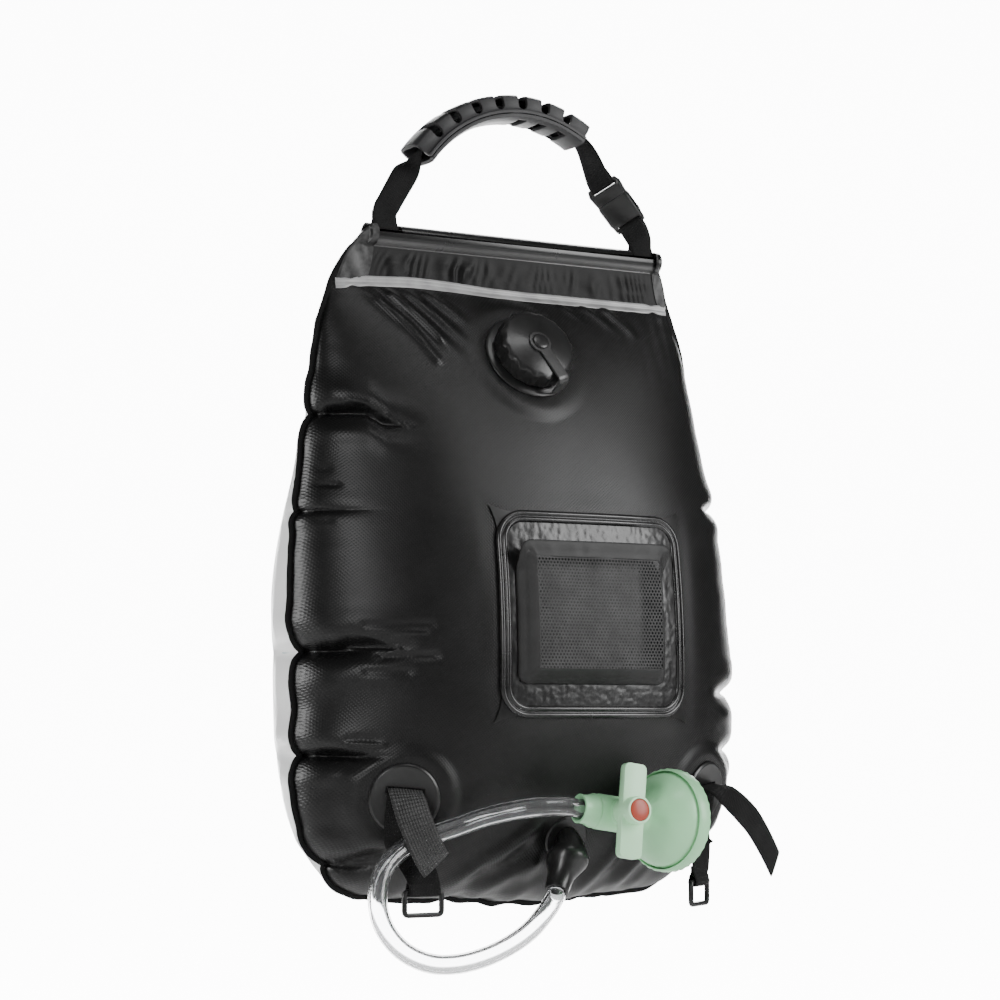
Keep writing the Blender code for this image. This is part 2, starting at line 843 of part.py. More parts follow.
def grip_shell():
    """Ribbed grip: slots go through the wrap to the webbing, above and, at the ends, below."""
    steps = 3 * rib_count
    whole = grip_left_angle + grip_right_angle
    section = grip_section()
    rings = []
    for index in range(steps + 1):
        frame = arch_frame(-grip_left_angle + whole * index / steps)
        rings.append([frame @ Vector((across, along, 0)) for across, along in section])
    grip = loft("grip_shell", rings, "grip_rubber")
    reach = grip_half_width - grip_wall * 0.15
    low_reach = grip_half_width * 0.86
    for index, angle in enumerate(rib_angles()):
        frame = arch_frame(angle)
        top = grip_half_thickness + overrun
        low = Vector((-low_reach, 0, -slot_width / 2))
        high = Vector((reach, top, slot_width / 2))
        modify(grip, block("grip_slot_cutter", low, high, frame), "DIFFERENCE")
        if abs(angle) > math.radians(14):
            low = Vector((-low_reach, -top, -slot_width / 2))
            high = Vector((reach, 0, slot_width / 2))
            modify(grip, block("grip_underslot_cutter", low, high, frame), "DIFFERENCE")


def rod_loop_points(place, above):
    """A strap's middle round the rod, from its back layer to its front one."""
    layer = (webbing_thickness + clearance) / 2
    radius = rod_loop_radius()
    points = [(layer, above), (layer, radius * 1.9), (radius * 0.45, radius * 1.3)]
    for step in range(9):
        angle = math.radians(42 + 276 * step / 8)
        points.append((radius * math.sin(angle), radius * math.cos(angle)))
    points += [(-across, along) for across, along in reversed(points[:3])]
    return [Vector((place, across, along - rod_drop)) for across, along in points]


def buckle_frame():
    """The buckle's frame at its mouth: Z down towards the rod, X across it, Y out of its face."""
    along = Vector((math.cos(buckle_tilt), 0, -math.sin(buckle_tilt)))
    flat = Vector((math.sin(buckle_tilt), 0, math.cos(buckle_tilt)))
    wide = flat * math.cos(buckle_twist) + Vector((0, -1, 0)) * math.sin(buckle_twist)
    return frame_of(Vector((buckle_place, 0, -buckle_drop)), along, wide)


def bar_loop_radius():
    """Middle of a strap that goes round one of the buckle's bars."""
    return buckle_bar_half * math.sqrt(2) + clearance + webbing_thickness / 2


def male_bar_place():
    return -(male_length - buckle_bar_half)


def bar_loop_points(place, turn):
    """A strap's middle round a buckle bar, in the buckle's frame; turn is its open side."""
    radius = bar_loop_radius()
    points = []
    for step in range(7):
        angle = math.radians(-90 + 180 * step / 6)
        points.append((radius * math.sin(angle), place - turn * radius * math.cos(angle)))
    return points


def handle_webbing():
    """One strap: sewn round the rod, up through the grip, round the buckle's bar and back."""
    side = -strap_place
    across = Vector((1, 0, 0))
    forwards = Vector((0, -1, 0))
    radius = rod_loop_radius()
    loop = rod_loop_points(side, radius * 1.9 + sewn_length)
    stations = [(point, across) for point in loop]
    start = arch_frame(-grip_left_angle)
    start_along = start.col[2].to_3d()
    rise = (start.translation - loop[-1]).length
    run = curved_path(
        loop[-1], Vector((0, 0, rise * 0.7)), start.translation, start_along * rise * 0.8, 6)
    stations += turn_widths(run[1:], across * 0.83 + forwards * 0.17, forwards)
    steps = 12
    whole = grip_left_angle + grip_right_angle
    for index in range(1, steps + 1):
        stations.append((arch_frame(-grip_left_angle + whole * index / steps).translation, forwards))
    frame = buckle_frame()
    wide = frame.col[0].to_3d()
    bar = bar_loop_points(male_bar_place(), -1)
    bar_points = [frame @ Vector((0, y, z)) for y, z in reversed(bar)]
    end = arch_frame(grip_right_angle)
    end_along = end.col[2].to_3d()
    reach = (bar_points[0] - end.translation).length
    run = curved_path(
        end.translation, end_along * reach, bar_points[0], frame.col[2].to_3d() * reach * 0.6, 5)
    stations += turn_widths(run[1:-1], forwards * 0.85 + wide * 0.15, forwards * 0.1 + wide * 0.9)
    stations += [(point, wide) for point in bar_points]
    tail = frame @ Vector((0, -bar_loop_radius() * 1.25, male_bar_place() - 3 * bar_loop_radius()))
    stations.append((tail, wide))
    return ribbon("handle_webbing", stations, handle_webbing_width, webbing_thickness, "black_webbing")


def webbing_tab():
    """The short closed strap between the rod and the buckle's socket."""
    across = Vector((1, 0, 0))
    frame = buckle_frame()
    wide = frame.col[0].to_3d()
    radius = rod_loop_radius()
    loop = rod_loop_points(strap_place, radius * 1.9)[1:-1]
    bar = bar_loop_points(socket_end - buckle_bar_half, 1)
    bar_points = [frame @ Vector((0, y, z)) for y, z in reversed(bar)]
    pull = frame.col[2].to_3d()
    reach = (bar_points[-1] - loop[0]).length
    up = Vector((0, 0, reach))
    rising = curved_path(loop[-1], up, bar_points[0], -pull * reach, 4)
    falling = curved_path(bar_points[-1], pull * reach, loop[0], -up, 4)
    stations = [(point, across) for point in loop]
    stations += turn_widths(rising[1:-1], across * 0.8 + wide * 0.2, across * 0.2 + wide * 0.8)
    stations += [(point, wide) for point in bar_points]
    stations += turn_widths(falling[1:-1], across * 0.2 + wide * 0.8, across * 0.8 + wide * 0.2)
    ribbon(
        "webbing_tab", stations, handle_webbing_width, webbing_thickness, "black_webbing", closed=True)


# Buckle

def buckle_rings(frame, shares):
    """Rounded oblong sections along the buckle: (place, half width, half thickness)."""
    rings = []
    for place, half_wide, half_thick in shares:
        outline = rounded_rectangle(2 * half_wide, 2 * half_thick, half_thick * 0.55, 2)
        rings.append([frame @ Vector((x, y, place)) for x, y in outline])
    return rings


def buckle_female():
    """The socket: a flat shell with side windows for the prongs and a bar for the strap."""
    frame = buckle_frame()
    half, thick = buckle_half_width, buckle_half_thickness
    slot_top = socket_end - 2 * buckle_bar_half
    rings = buckle_rings(frame, (
        (0, half * 0.95, thick * 0.92), (window_low * 0.4, half, thick),
        (socket_length * 0.84, half, thick), (socket_length, half * 0.96, thick * 0.62),
        (slot_top - buckle_bar_half / 4, half * 0.96, buckle_bar_half), (socket_end, half * 0.9, buckle_bar_half),
    ))
    socket = loft("buckle_female", rings, "black_plastic")
    wide = half + overrun
    cavity = half - buckle_wall
    deep = buckle_cavity_half
    cuts = (
        ((-cavity, -deep, -overrun), (cavity, deep, cavity_depth)),
        ((-wide, -deep, window_low), (wide, deep, window_high)),
        ((-handle_webbing_width / 2 - 2 * clearance, -thick - overrun, slot_top - buckle_bar_half * 2),
         (handle_webbing_width / 2 + 2 * clearance, thick + overrun, slot_top)),
    )
    for low, high in cuts:
        modify(socket, block("socket_cutter", low, high, frame), "DIFFERENCE")


def buckle_male():
    """The ladder half: a base with a bar for the strap, a guide tongue and two prong seats."""
    frame = buckle_frame()
    half, thick = buckle_half_width, buckle_half_thickness
    bar_top = 2 * buckle_bar_half - male_length
    slot_end = bar_top + 2 * buckle_bar_half
    rings = buckle_rings(frame, (
        (-male_length, half * 0.92, buckle_bar_half), (bar_top + buckle_bar_half / 4, half, buckle_bar_half),
        (slot_end - buckle_bar_half / 4, half * 1.04, thick * 0.65), (slot_end * 0.6, half, thick * 0.9),
        (-clearance, half * 0.95, thick * 0.92),
    ))
    base = loft("buckle_male", rings, "black_plastic")
    deep = buckle_cavity_half - clearance
    tongue = buckle_rings(frame, (
        (-tongue_half_width, tongue_half_width, deep), (tongue_length * 0.85, tongue_half_width, deep),
        (tongue_length, tongue_half_width * 0.6, deep * 0.7),
    ))
    modify(base, loft("tongue_tool", tongue, None), "UNION")
    slot_half = handle_webbing_width / 2 + 2 * clearance
    slot = ((-slot_half, -thick - overrun, bar_top), (slot_half, thick + overrun, slot_end))
    modify(base, block("ladder_cutter", slot[0], slot[1], frame), "DIFFERENCE")
    knuckle = prong_half_width * 1.3
    for side in (-1, 1):
        inner = side * (prong_pivot_place - knuckle - 2 * clearance)
        outer = side * (prong_pivot_place + knuckle + 2 * clearance)
        low = (min(inner, outer), -deep - clearance, -prong_pivot_depth - knuckle - 2 * clearance)
        high = (max(inner, outer), deep + clearance, overrun)
        modify(base, block("prong_seat_cutter", low, high, frame), "DIFFERENCE")


def prong_pivot(side):
    """Where a prong bends: a point of its hinge axis in the ladder half."""
    return buckle_frame() @ Vector((side * prong_pivot_place, 0, -prong_pivot_depth))


def buckle_prong(name, side, carrier):
    """A release prong: its arm springs outwards and its catch fills the socket's window."""
    frame = buckle_frame()
    knuckle = prong_half_width * 1.3
    outline = []
    for step in range(7):
        angle = math.radians(180 + 180 * step / 6)
        outline.append((
            prong_pivot_place + knuckle * math.cos(angle), knuckle * math.sin(angle) - prong_pivot_depth))
    arm = prong_pivot_place + prong_half_width
    catch = arm + prong_catch
    shoulder = window_low + clearance
    outline += [
        (arm, 0), (arm, shoulder), (catch - prong_half_width / 4, shoulder),
        (catch, shoulder + prong_half_width), (catch, prong_length * 0.86),
        (arm, prong_length), (prong_pivot_place - prong_half_width * 0.4, prong_length),
        (prong_pivot_place - prong_half_width, prong_length * 0.9),
        (prong_pivot_place - prong_half_width, 0),
    ]
    deep = buckle_cavity_half - clearance
    rings = [[frame @ Vector((side * x, y, z)) for x, z in outline] for y in (-deep, deep)]
    loft(name, rings, "black_plastic", carrier)


# Filler port and cap

def port_frame():
    return seat_frame(port_seat)


def fill_port(carrier):
    """Flange welded to the film, with the neck that the cap screws on."""
    top = clearance + port_flange_thickness
    neck = port_neck_radius
    turned("fill_port", (
        (port_bore_radius, clearance), (port_flange_radius, clearance),
        (port_flange_radius, top * 0.55), (port_flange_radius - top, top),
        (neck + top, top), (neck, top * 2), (neck, port_neck_height), (port_bore_radius, port_neck_height),
    ), 30, port_frame(), "black_plastic", carrier, hollow=True)


def port_hole(panel, carrier):
    """The round hole in the front film under the filler neck."""
    frame = port_frame()
    rings = [circle(frame, port_bore_radius, height, 30) for height in (-film - overrun / 4, overrun / 4)]
    modify(panel, loft("port_hole_cutter", rings, None, carrier), "DIFFERENCE")


def cap_seat():
    """Height of the cap's inner top over the film."""
    return port_neck_height + gasket_thickness + 2 * clearance


def fill_cap(carrier):
    """Screw cap with grip blocks round it and a headed boss that keeps the tether."""
    inside = port_neck_radius + 2 * clearance
    roof = cap_seat()
    top = roof + cap_top
    foot = clearance + port_flange_thickness * 2.2
    boss_top = top + cap_boss_height
    head = cap_boss_radius * 1.45
    body = cap_radius - knurl_depth
    steps = 4 * knurl_count

    def blocks(index):
        return knurl_depth if index % 4 in (0, 1) else 0

    frame = port_frame()
    rings = [circle(frame, radius, height, steps, bump) for radius, height, bump in (
        (cap_boss_radius, boss_top + cap_boss_head, None), (head, boss_top + cap_boss_head * 0.6, None),
        (head, boss_top, None), (cap_boss_radius, boss_top, None), (cap_boss_radius, top, None),
        (body - cap_top, top, None), (body - cap_top * 0.2, top - cap_top * 0.5, None),
        (body, top - cap_top, blocks), (body, foot + cap_wall * 0.3, blocks), (body, foot, None),
        (inside, foot, None), (inside, roof, None), (cap_boss_radius, roof, None),
    )]
    loft("fill_cap", rings, "black_plastic", carrier)


def cap_gasket(carrier):
    """Flat seal between the cap's top and the neck."""
    low = port_neck_height + clearance
    high = low + gasket_thickness
    inner, outer = port_bore_radius, port_neck_radius
    profile = ((inner, low), (outer, low), (outer, high), (inner, high))
    turned("cap_gasket", profile, 24, port_frame(), "seal_rubber", carrier, hollow=True)


def cap_tether(carrier):
    """Strap with an eye round the cap's boss, bent over the rim to the flange."""
    frame = port_frame()
    turn = Matrix.Rotation(tether_direction, 4, "Z")
    bottom = cap_seat() + cap_top + clearance
    bend = tether_thickness * 2
    rim = cap_radius + 2 * clearance
    fall = bottom - port_flange_thickness - 3 * clearance
    half = tether_width / 2
    arc = bend * math.pi / 2

    def place(along, across, level):
        if along < rim:
            spot = Vector((along, across, bottom + level))
        elif along < rim + arc:
            angle = (along - rim) / bend
            reach = bend + level
            spot = Vector((rim + reach * math.sin(angle), across, bottom - bend + reach * math.cos(angle)))
        else:
            spot = Vector((rim + bend + level, across, bottom - bend - (along - rim - arc)))
        return frame @ (turn @ spot)

    eye = cap_boss_radius + 2 * clearance
    outer = eye + tether_width * 0.42
    start = math.asin(half / outer)
    loop = []
    for step in range(11):
        angle = start + (2 * math.pi - 2 * start) * step / 10
        loop.append((outer * math.cos(angle), outer * math.sin(angle)))
    length = rim + arc + fall - bend
    alongs = [rim * 0.6, rim] + [rim + arc * step / 4 for step in range(1, 5)] + [length - half]
    near = [(along, -half) for along in alongs]
    tip = [(length - half + half * math.cos(angle), half * math.sin(angle))
           for angle in (-math.pi / 4, 0, math.pi / 4)]
    loop += near + tip + [(along, half) for along in reversed(alongs)]
    hole = round_loop(eye, 12)
    holed_sheet("cap_tether", [loop, hole], place, (0, tether_thickness), "black_plastic", carrier)


# Pocket

def pocket_place_on_film(across, along, lift):
    """A point of the pocket, over its place on the film."""
    return film_face(pocket_place + across, pocket_drop - along, lift + pocket_lift)


def pocket_outline(inset, steps=4):
    radius = max(pocket_corner - inset, pocket_corner / 4)
    return rounded_rectangle(
        pocket_width - 2 * inset, pocket_height - 2 * inset, radius, steps, side_steps=5)


def pocket_sheet(carrier):
    """Clear sheet welded over the film."""
    insets = [pocket_height / 2 * share for share in (0.86, 0.6, 0.35, 0.14, 0.0)]
    rings = []
    for lift, order in ((clearance + pocket_film, insets), (clearance, list(reversed(insets)))):
        for inset in order:
            outline = pocket_outline(inset)
            rings.append([pocket_place_on_film(x, y, lift) for x, y in outline])
    loft("pocket_sheet", rings, "clear_vinyl", carrier)


def pocket_frame(carrier):
    """Double bead where the sheet's edge is welded."""
    base = 2 * clearance + pocket_film
    half = bead_half_width
    section = (
        (-half, 0), (-half, bead_height * 0.45), (-half * 0.55, bead_height), (0, bead_height * 0.5),
        (half * 0.55, bead_height), (half, bead_height * 0.45), (half, 0),
    )
    rings = []
    for across, lift in section:
        outline = pocket_outline(half - across)
        rings.append([pocket_place_on_film(x, y, base + lift) for x, y in outline])
    loft("pocket_frame", rings, "clear_vinyl", carrier, closed=True)


def pocket_tape(carrier):
    """Binding of the mesh: its sides and bottom slope down to the sheet, its top edge is free."""
    base = 2 * clearance + pocket_film
    rings = []
    for edge, level in ((0, 0), (0, 1), (1, 1), (1, 0)):
        inset = edge * tape_band
        radius = max(tape_corner - inset / 2, tape_corner / 4)
        outline = rounded_rectangle(
            tape_width - 2 * inset, tape_height - 2 * inset, radius, 3, side_steps=5)
        ring = []
        for x, y in outline:
            top_share = min(max((y - tape_height * 0.30) / (tape_height * 0.15), 0), 1)
            raised = pocket_depth if edge else pocket_depth * top_share
            ring.append(pocket_place_on_film(x + tape_offset, y, base + raised + level * tape_thickness))
        rings.append(ring)
    loft("pocket_tape", rings, "pocket_tape", carrier, closed=True)


def hexagon(centre_x, centre_y, radius):
    return [(centre_x + x, centre_y + y) for x, y in round_loop(radius, 6, start=30)]


def pocket_mesh(carrier):
    """Net with six-sided gaps, held inside the binding."""
    width = tape_width - 2 * tape_band - 2 * clearance
    height = tape_height - 2 * tape_band - 2 * clearance
    border_loop = rounded_rectangle(width, height, tape_corner / 4, 2, side_steps=8)
    gap = (net_pitch - net_web) / math.sqrt(3)
    row_pitch = net_pitch * math.sqrt(3) / 2
    rows = int((height - net_web * 2 - gap) / row_pitch)
    columns = int((width - net_web * 2) / net_pitch - 0.5)
    loops = [border_loop]
    for row in range(rows):
        shift = 0.25 if row % 2 else -0.25
        y = (row - (rows - 1) / 2) * row_pitch
        for column in range(columns):
            x = (column - (columns - 1) / 2 + shift) * net_pitch
            loops.append(hexagon(x, y, gap))
    low = 2 * clearance + pocket_film + pocket_depth + tape_thickness / 4

    def place(across, along, level):
        return pocket_place_on_film(across + tape_offset, along, low + level)

    holed_sheet("pocket_mesh", loops, place, (0, net_thickness), "net_thread", carrier)


# Corner anchors

def anchor_frame(side):
    return seat_frame(anchor_seats[0 if side < 0 else 1])


def anchor_patch(name, side, carrier):
    """Round welded patch with a raised rim and the slot that the straps come out of."""
    frame = anchor_frame(side)
    base = clearance
    top = base + anchor_thickness
    profile = (
        (anchor_radius / 4, base), (anchor_radius, base), (anchor_radius, top * 0.5),
        (anchor_radius - top * 0.7, top), (anchor_radius - top * 1.6, top * 0.8), (anchor_radius / 4, top * 0.8),
    )
    patch = turned(name, profile, 28, frame, "black_plastic", carrier)
    low = (-anchor_slot_width / 2, anchor_slot_rise - anchor_slot_height / 2, -overrun)
    high = (anchor_slot_width / 2, anchor_slot_rise + anchor_slot_height / 2, overrun)
    modify(patch, block("anchor_slot_cutter", low, high, frame, None, carrier), "DIFFERENCE")


def slot_layer():
    """How far each of the two straps in a slot lies from its middle."""
    return (webbing_thickness + clearance) / 2


def ring_bar_point(side):
    """Middle of an anchor ring's upper bar, the ring's own axis."""
    return Vector((side * ring_place, -(anchor_seats[0]["depth"] + ring_gap), -ring_drop))


def ring_bar_frame(side):
    """The ring's frame: X along its bars, Z up. The right ring is turned towards the bag's side."""
    turn = ring_right_turn if side > 0 else 0
    return Matrix.Translation(ring_bar_point(side)) @ Matrix.Rotation(turn, 4, "Z")


def ring_webbing(name, side, carrier):
    """Strap from the slot down over the patch and round the ring's upper bar."""
    frame = anchor_frame(side)
    bar = ring_bar_frame(side)
    across = bar.col[0].to_3d()
    low = anchor_slot_rise - slot_layer()
    surface = clearance + anchor_thickness + clearance + webbing_thickness / 2
    start = frame @ Vector((0, low, 2 * clearance))
    rise = frame @ Vector((0, low, surface * 0.62))
    turn = frame @ Vector((0, low - webbing_thickness * 0.6, surface))
    edge = frame @ Vector((0, -anchor_radius, surface + clearance))
    radius = ring_bar * 0.62 + clearance + webbing_thickness / 2
    layer = (webbing_thickness + clearance) / 2
    back = bar @ Vector((0, layer, radius * 2.1))
    front = bar @ Vector((0, -layer, radius * 2.1))
    pull = (edge - turn).normalized() * anchor_radius
    down = Vector((0, 0, -anchor_radius * 0.6))
    patch_wide = frame.col[0].to_3d()
    run = curved_path(edge, pull * 0.5, front, down, 4)
    stations = [(point, patch_wide) for point in (start, rise, turn)]
    stations += turn_widths(run, patch_wide, across)
    points = [bar @ Vector((0, -radius * 0.7, radius * 1.25))]
    for step in range(7):
        angle = math.radians(-50 - 260 * step / 6)
        points.append(bar @ Vector((0, radius * math.sin(angle), radius * math.cos(angle))))
    points += [bar @ Vector((0, radius * 0.7, radius * 1.25)), back, back + Vector((0, 0, radius * 1.5))]
    stations += [(point, across) for point in points]
    ribbon(name, stations, strap_width, webbing_thickness, "black_webbing", carrier)


def anchor_ring(name, side, carrier):
    """Rectangular tie-down ring of flat-sided bar, hanging on its strap."""
    width = 2 * ring_half_width - ring_bar
    height = ring_height - ring_bar
    outline = rounded_rectangle(width, height, ring_corner, 3)
    frame = ring_bar_frame(side)
    half = ring_bar / 2
    flat = half * 0.6
    section = ((-half, -flat), (-flat, -half), (flat, -half), (half, -flat),
               (half, flat), (flat, half), (-flat, half), (-half, flat))
    rings = []
    for out, deep in section:
        ring = []
        for index, (x, z) in enumerate(outline):
            before, after = outline[index - 1], outline[(index + 1) % len(outline)]
            along = Vector((after[0] - before[0], 0, after[1] - before[1])).normalized()
            outward = Vector((along.z, 0, -along.x))
            ring.append(frame @ (Vector((x, deep, z - height / 2)) + outward * out))
        rings.append(ring)
    loft(name, rings, "black_plastic", carrier, closed=True)


# Hose straps: the left one holds the hose, the right one hangs free

hose_strap_left_route = (
    (0.0000, 0.0069, 0.0036), (0.0005, 0.0060, 0.0100), (0.0025, 0.0015, 0.0175), (0.0065, -0.0078, 0.0238),
    (0.0120, -0.0185, 0.0276), (0.0175, -0.0285, 0.0278), (0.0225, -0.0365, 0.0250), (0.0260, -0.0415, 0.0205),
)
hose_strap_right_route = (
    (0.0000, 0.0069, 0.0036), (0.0005, 0.0071, 0.0090), (0.0015, 0.0064, 0.0150), (0.0050, 0.0022, 0.0210),
    (0.0150, -0.0060, 0.0270), (0.0290, -0.0180, 0.0320), (0.0460, -0.0360, 0.0360), (0.0630, -0.0555, 0.0390),
)


def hose_strap(name, side, route, last_wide, carrier):
    """Strap out of the upper half of the slot, along points over its patch."""
    frame = anchor_frame(side)
    across = frame.col[0].to_3d()
    high = anchor_slot_rise + slot_layer()
    points = [frame @ Vector((0, high, 2 * clearance))]
    points += [frame @ Vector(point) for point in route]
    last = frame.to_3x3() @ Vector(last_wide)
    stations = [(point, across) for point in points[:2]] + turn_widths(points[2:], across, last)
    ribbon(name, stations, strap_width, webbing_thickness, "black_webbing", carrier)


# Outlet and hose

def outlet_end():
    """Centre of the outlet's neck, where the hose begins."""
    return seat_frame(outlet_seat).translation + outlet_axis * outlet_length


def outlet_flange(carrier):
    """Disc welded to the film that carries the outlet."""
    base, top = clearance, clearance + outlet_flange_thickness
    turned("outlet_flange", (
        (outlet_flange_radius * 0.3, base), (outlet_flange_radius, base),
        (outlet_flange_radius, top * 0.6), (outlet_flange_radius - top * 0.6, top),
        (outlet_flange_radius * 0.3, top),
    ), 24, seat_frame(outlet_seat), "black_plastic", carrier)


def outlet_boot(carrier):
    """Tapered fitting: it widens from the film to a ridge and narrows to the hose."""
    seat = seat_frame(outlet_seat)
    start = seat @ Vector((0, 0, outlet_flange_thickness + 2 * clearance))
    normal = seat.col[2].to_3d()
    end = outlet_end()
    whole = (end - start).length
    bent = curved_path(start, normal * whole, end, outlet_axis * whole, 12)
    shares = (
        (0, outlet_root_radius, 0), (2, outlet_root_radius * 1.08, 0.45), (4, outlet_ridge_radius * 0.86, 0.9),
        (5, outlet_ridge_radius, 1), (6, outlet_ridge_radius, 1), (7, outlet_ridge_radius * 0.86, 1),
        (9, outlet_ridge_radius * 0.62, 1), (11, outlet_neck_radius * 1.05, 1), (12, outlet_neck_radius, 1),
    )
    rings = []
    for index, radius, turned_share in shares:
        axis = normal * (1 - turned_share) + outlet_axis * turned_share
        frame = frame_of(bent[index], axis, Vector((1, 0, 0)))
        rings.append(circle(frame, radius, 0, 20))
    loft("outlet_boot", rings, "black_plastic", carrier)


hose_route = (
    (-0.0350, 0.0255, -0.0035), (-0.0502, 0.0285, -0.0162), (-0.0695, 0.0305, -0.0265),
    (-0.0908, 0.0305, -0.0340), (-0.1123, 0.0285, -0.0377), (-0.1322, 0.0255, -0.0360),
    (-0.1507, 0.0215, -0.0265), (-0.1623, 0.0165, -0.0105), (-0.1646, 0.0115, 0.0087),
    (-0.1571, 0.0060, 0.0276), (-0.1409, 0.0010, 0.0410), (-0.1197, -0.0010, 0.0496),
    (-0.0991, 0.0045, 0.0564), (-0.0802, 0.0175, 0.0643), (-0.0632, 0.0325, 0.0694),
    (-0.0474, 0.0435, 0.0716),
)


def smooth_points(points, spacing):
    """Even points on a smooth curve from the second of some points to the last but one."""
    fine = []
    for index in range(1, len(points) - 2):
        before, here, there, after = points[index - 1:index + 3]
        for step in range(24):
            t = step / 24
            fine.append((
                here * 2 + (there - before) * t + (before * 2 - here * 5 + there * 4 - after) * t ** 2
                + (here * 3 - before - there * 3 + after) * t ** 3) / 2)
    fine.append(points[-2])
    length = sum((b - a).length for a, b in zip(fine, fine[1:]))
    count = max(int(round(length / spacing)), 2)
    evened, walked, target = [fine[0]], 0, length / count
    for first, second in zip(fine, fine[1:]):
        step = (second - first).length
        while walked + step >= target and len(evened) < count:
            evened.append(first + (second - first) * ((target - walked) / step))
            target += length / count
        walked += step
    evened.append(fine[-1])
    return evened


def head_frame():
    """The valve's frame: X along the flow, Z out of the hub, Y along the closed lever."""
    return frame_of(head_place, hub_hint - flow_axis * hub_hint.dot(flow_axis), flow_axis)


def flow_frame():
    """A frame whose Z runs along the flow through the valve."""
    return frame_of(head_place, flow_axis, head_frame().col[2].to_3d())


def hose_seat():
    """Where the hose stops inside the collar, as a place along the flow."""
    return -(collar_reach - hose_radius)


def hose(carrier):
    """Clear hose from the outlet, under the left strap, to the collar."""
    start = outlet_end() + outlet_axis * clearance
    finish = flow_frame() @ Vector((0, 0, hose_seat() - clearance))
    points = [start, start + outlet_axis * hose_radius / 2]
    points += [Vector((across, -(shower_depth + ahead), rise - seam_drop)) for across, ahead, rise in hose_route]
    points += [finish - flow_axis * 2 * hose_radius, finish]
    evened = [start] + smooth_points(points, 1.15 * 2 * hose_radius) + [finish]
    curve = bpy.data.curves.new("hose", "CURVE")
    curve.dimensions = "3D"
    curve.bevel_depth = hose_radius
    curve.bevel_resolution = 3
    curve.use_fill_caps = True
    spline = curve.splines.new("POLY")
    spline.points.add(len(evened) - 1)
    for slot, point in zip(spline.points, evened):
        slot.co = (*(point - carrier["place"]), 1)
    curve.materials.append(material("clear_hose"))
    item = bpy.data.objects.new("hose", curve)
    bpy.context.collection.objects.link(item)
    item.parent = carrier["empty"]


# Shut-off valve and shower head

def hose_collar(carrier):
    """Collar with a flared mouth that the hose is pushed into."""
    mouth = -collar_reach
    bore = hose_radius + clearance
    join = -body_half_length - clearance
    turned("hose_collar", (
        (collar_radius, mouth), (collar_radius * 0.95, mouth + collar_mouth),
        (collar_radius, mouth * 0.78), (body_radius * 0.97, mouth * 0.62), (body_radius * 0.97, join),
        (flow_bore, join), (flow_bore, hose_seat()), (bore, hose_seat()), (bore, mouth + 2 * collar_mouth),
        (bore + collar_mouth, mouth),
    ), 28, flow_frame(), "mint_plastic", carrier, hollow=True)


def valve_body(carrier):
    """Body with its flow bore, and the chamber across it that the plug turns in."""
    frame = flow_frame()
    half, radius = body_half_length, body_radius
    body = turned("valve_body", (
        (radius * 0.94, -half), (radius, -half * 0.85), (radius, half * 0.8), (radius * 0.93, half),
    ), 28, frame, "mint_plastic", carrier)
    hub = head_frame()
    boss = turned("valve_boss_tool", (
        (hub_radius * 0.97, 0), (hub_radius * 0.97, hub_low - clearance),
    ), 24, hub, None, carrier)
    modify(body, boss, "UNION")
    flow = turned("flow_bore_cutter", (
        (flow_bore, -half - overrun), (flow_bore, half + overrun)), 16, frame, None, carrier)
    modify(body, flow, "DIFFERENCE")
    chamber = turned("chamber_cutter", (
        (plug_radius + clearance, -plug_low - clearance), (plug_radius + clearance, hub_low + overrun),
    ), 20, hub, None, carrier)
    modify(body, chamber, "DIFFERENCE")


def valve_plug(carrier):
    """Turning plug: its cross hole lies across the flow while the valve is shut."""
    hub = head_frame()
    stem_top = hub_high - button_depth - 10 * clearance
    plug = turned("valve_plug", (
        (plug_radius, -plug_low), (plug_radius, plug_high), (stem_radius, plug_high), (stem_radius, stem_top),
    ), 20, hub, "white_plastic", carrier)
    hole = frame_of(head_place, hub.col[1].to_3d(), hub.col[2].to_3d())
    bore = turned("plug_hole_cutter", (
        (flow_bore * 0.9, -plug_radius - overrun), (flow_bore * 0.9, plug_radius + overrun),
    ), 12, hole, None, carrier)
    modify(plug, bore, "DIFFERENCE")


def plug_seal(carrier):
    """O-ring round the plug's stem."""
    middle = stem_radius + seal_radius + clearance
    height = plug_high + seal_radius + clearance
    profile = [(middle + x, height + y) for x, y in round_loop(seal_radius, 8)]
    turned("plug_seal", profile, 16, head_frame(), "seal_rubber", carrier, hollow=True)


def valve_lever(carrier):
    """Lever with two flat wings on a hub, which is bored for the stem and the button."""
    hub = head_frame()
    floor = hub_high - button_depth
    lever = turned("valve_lever", (
        (hub_radius * 0.96, hub_low), (hub_radius, hub_low + collar_mouth / 2),
        (hub_radius, hub_high - collar_mouth / 3), (hub_radius * 0.96, hub_high),
    ), 28, hub, "mint_lever", carrier)
    outline = rounded_rectangle(wing_width, wing_span, wing_corner, 3)
    wings = extruded("wing_tool", [outline], wing_low, wing_low + wing_thickness, hub, None, carrier)
    modify(lever, wings, "UNION")
    stem = turned("stem_cutter", (
        (stem_radius + clearance, hub_low - overrun), (stem_radius + clearance, floor - 9 * clearance),
    ), 16, hub, None, carrier)
    modify(lever, stem, "DIFFERENCE")
    recess = turned("button_cutter", (
        (button_radius + clearance, floor), (button_radius + clearance, hub_high + overrun),
    ), 24, hub, None, carrier)
    modify(lever, recess, "DIFFERENCE")


def lever_button(carrier):
    """Red cover of the lever's screw, slightly crowned."""
    floor = hub_high - button_depth + clearance
    turned("lever_button", (
        (button_radius, floor), (button_radius, hub_high), (button_radius * 0.8, hub_high + button_crown * 0.6),
        (button_radius * 0.35, hub_high + button_crown),
    ), 24, head_frame(), "red_button", carrier)


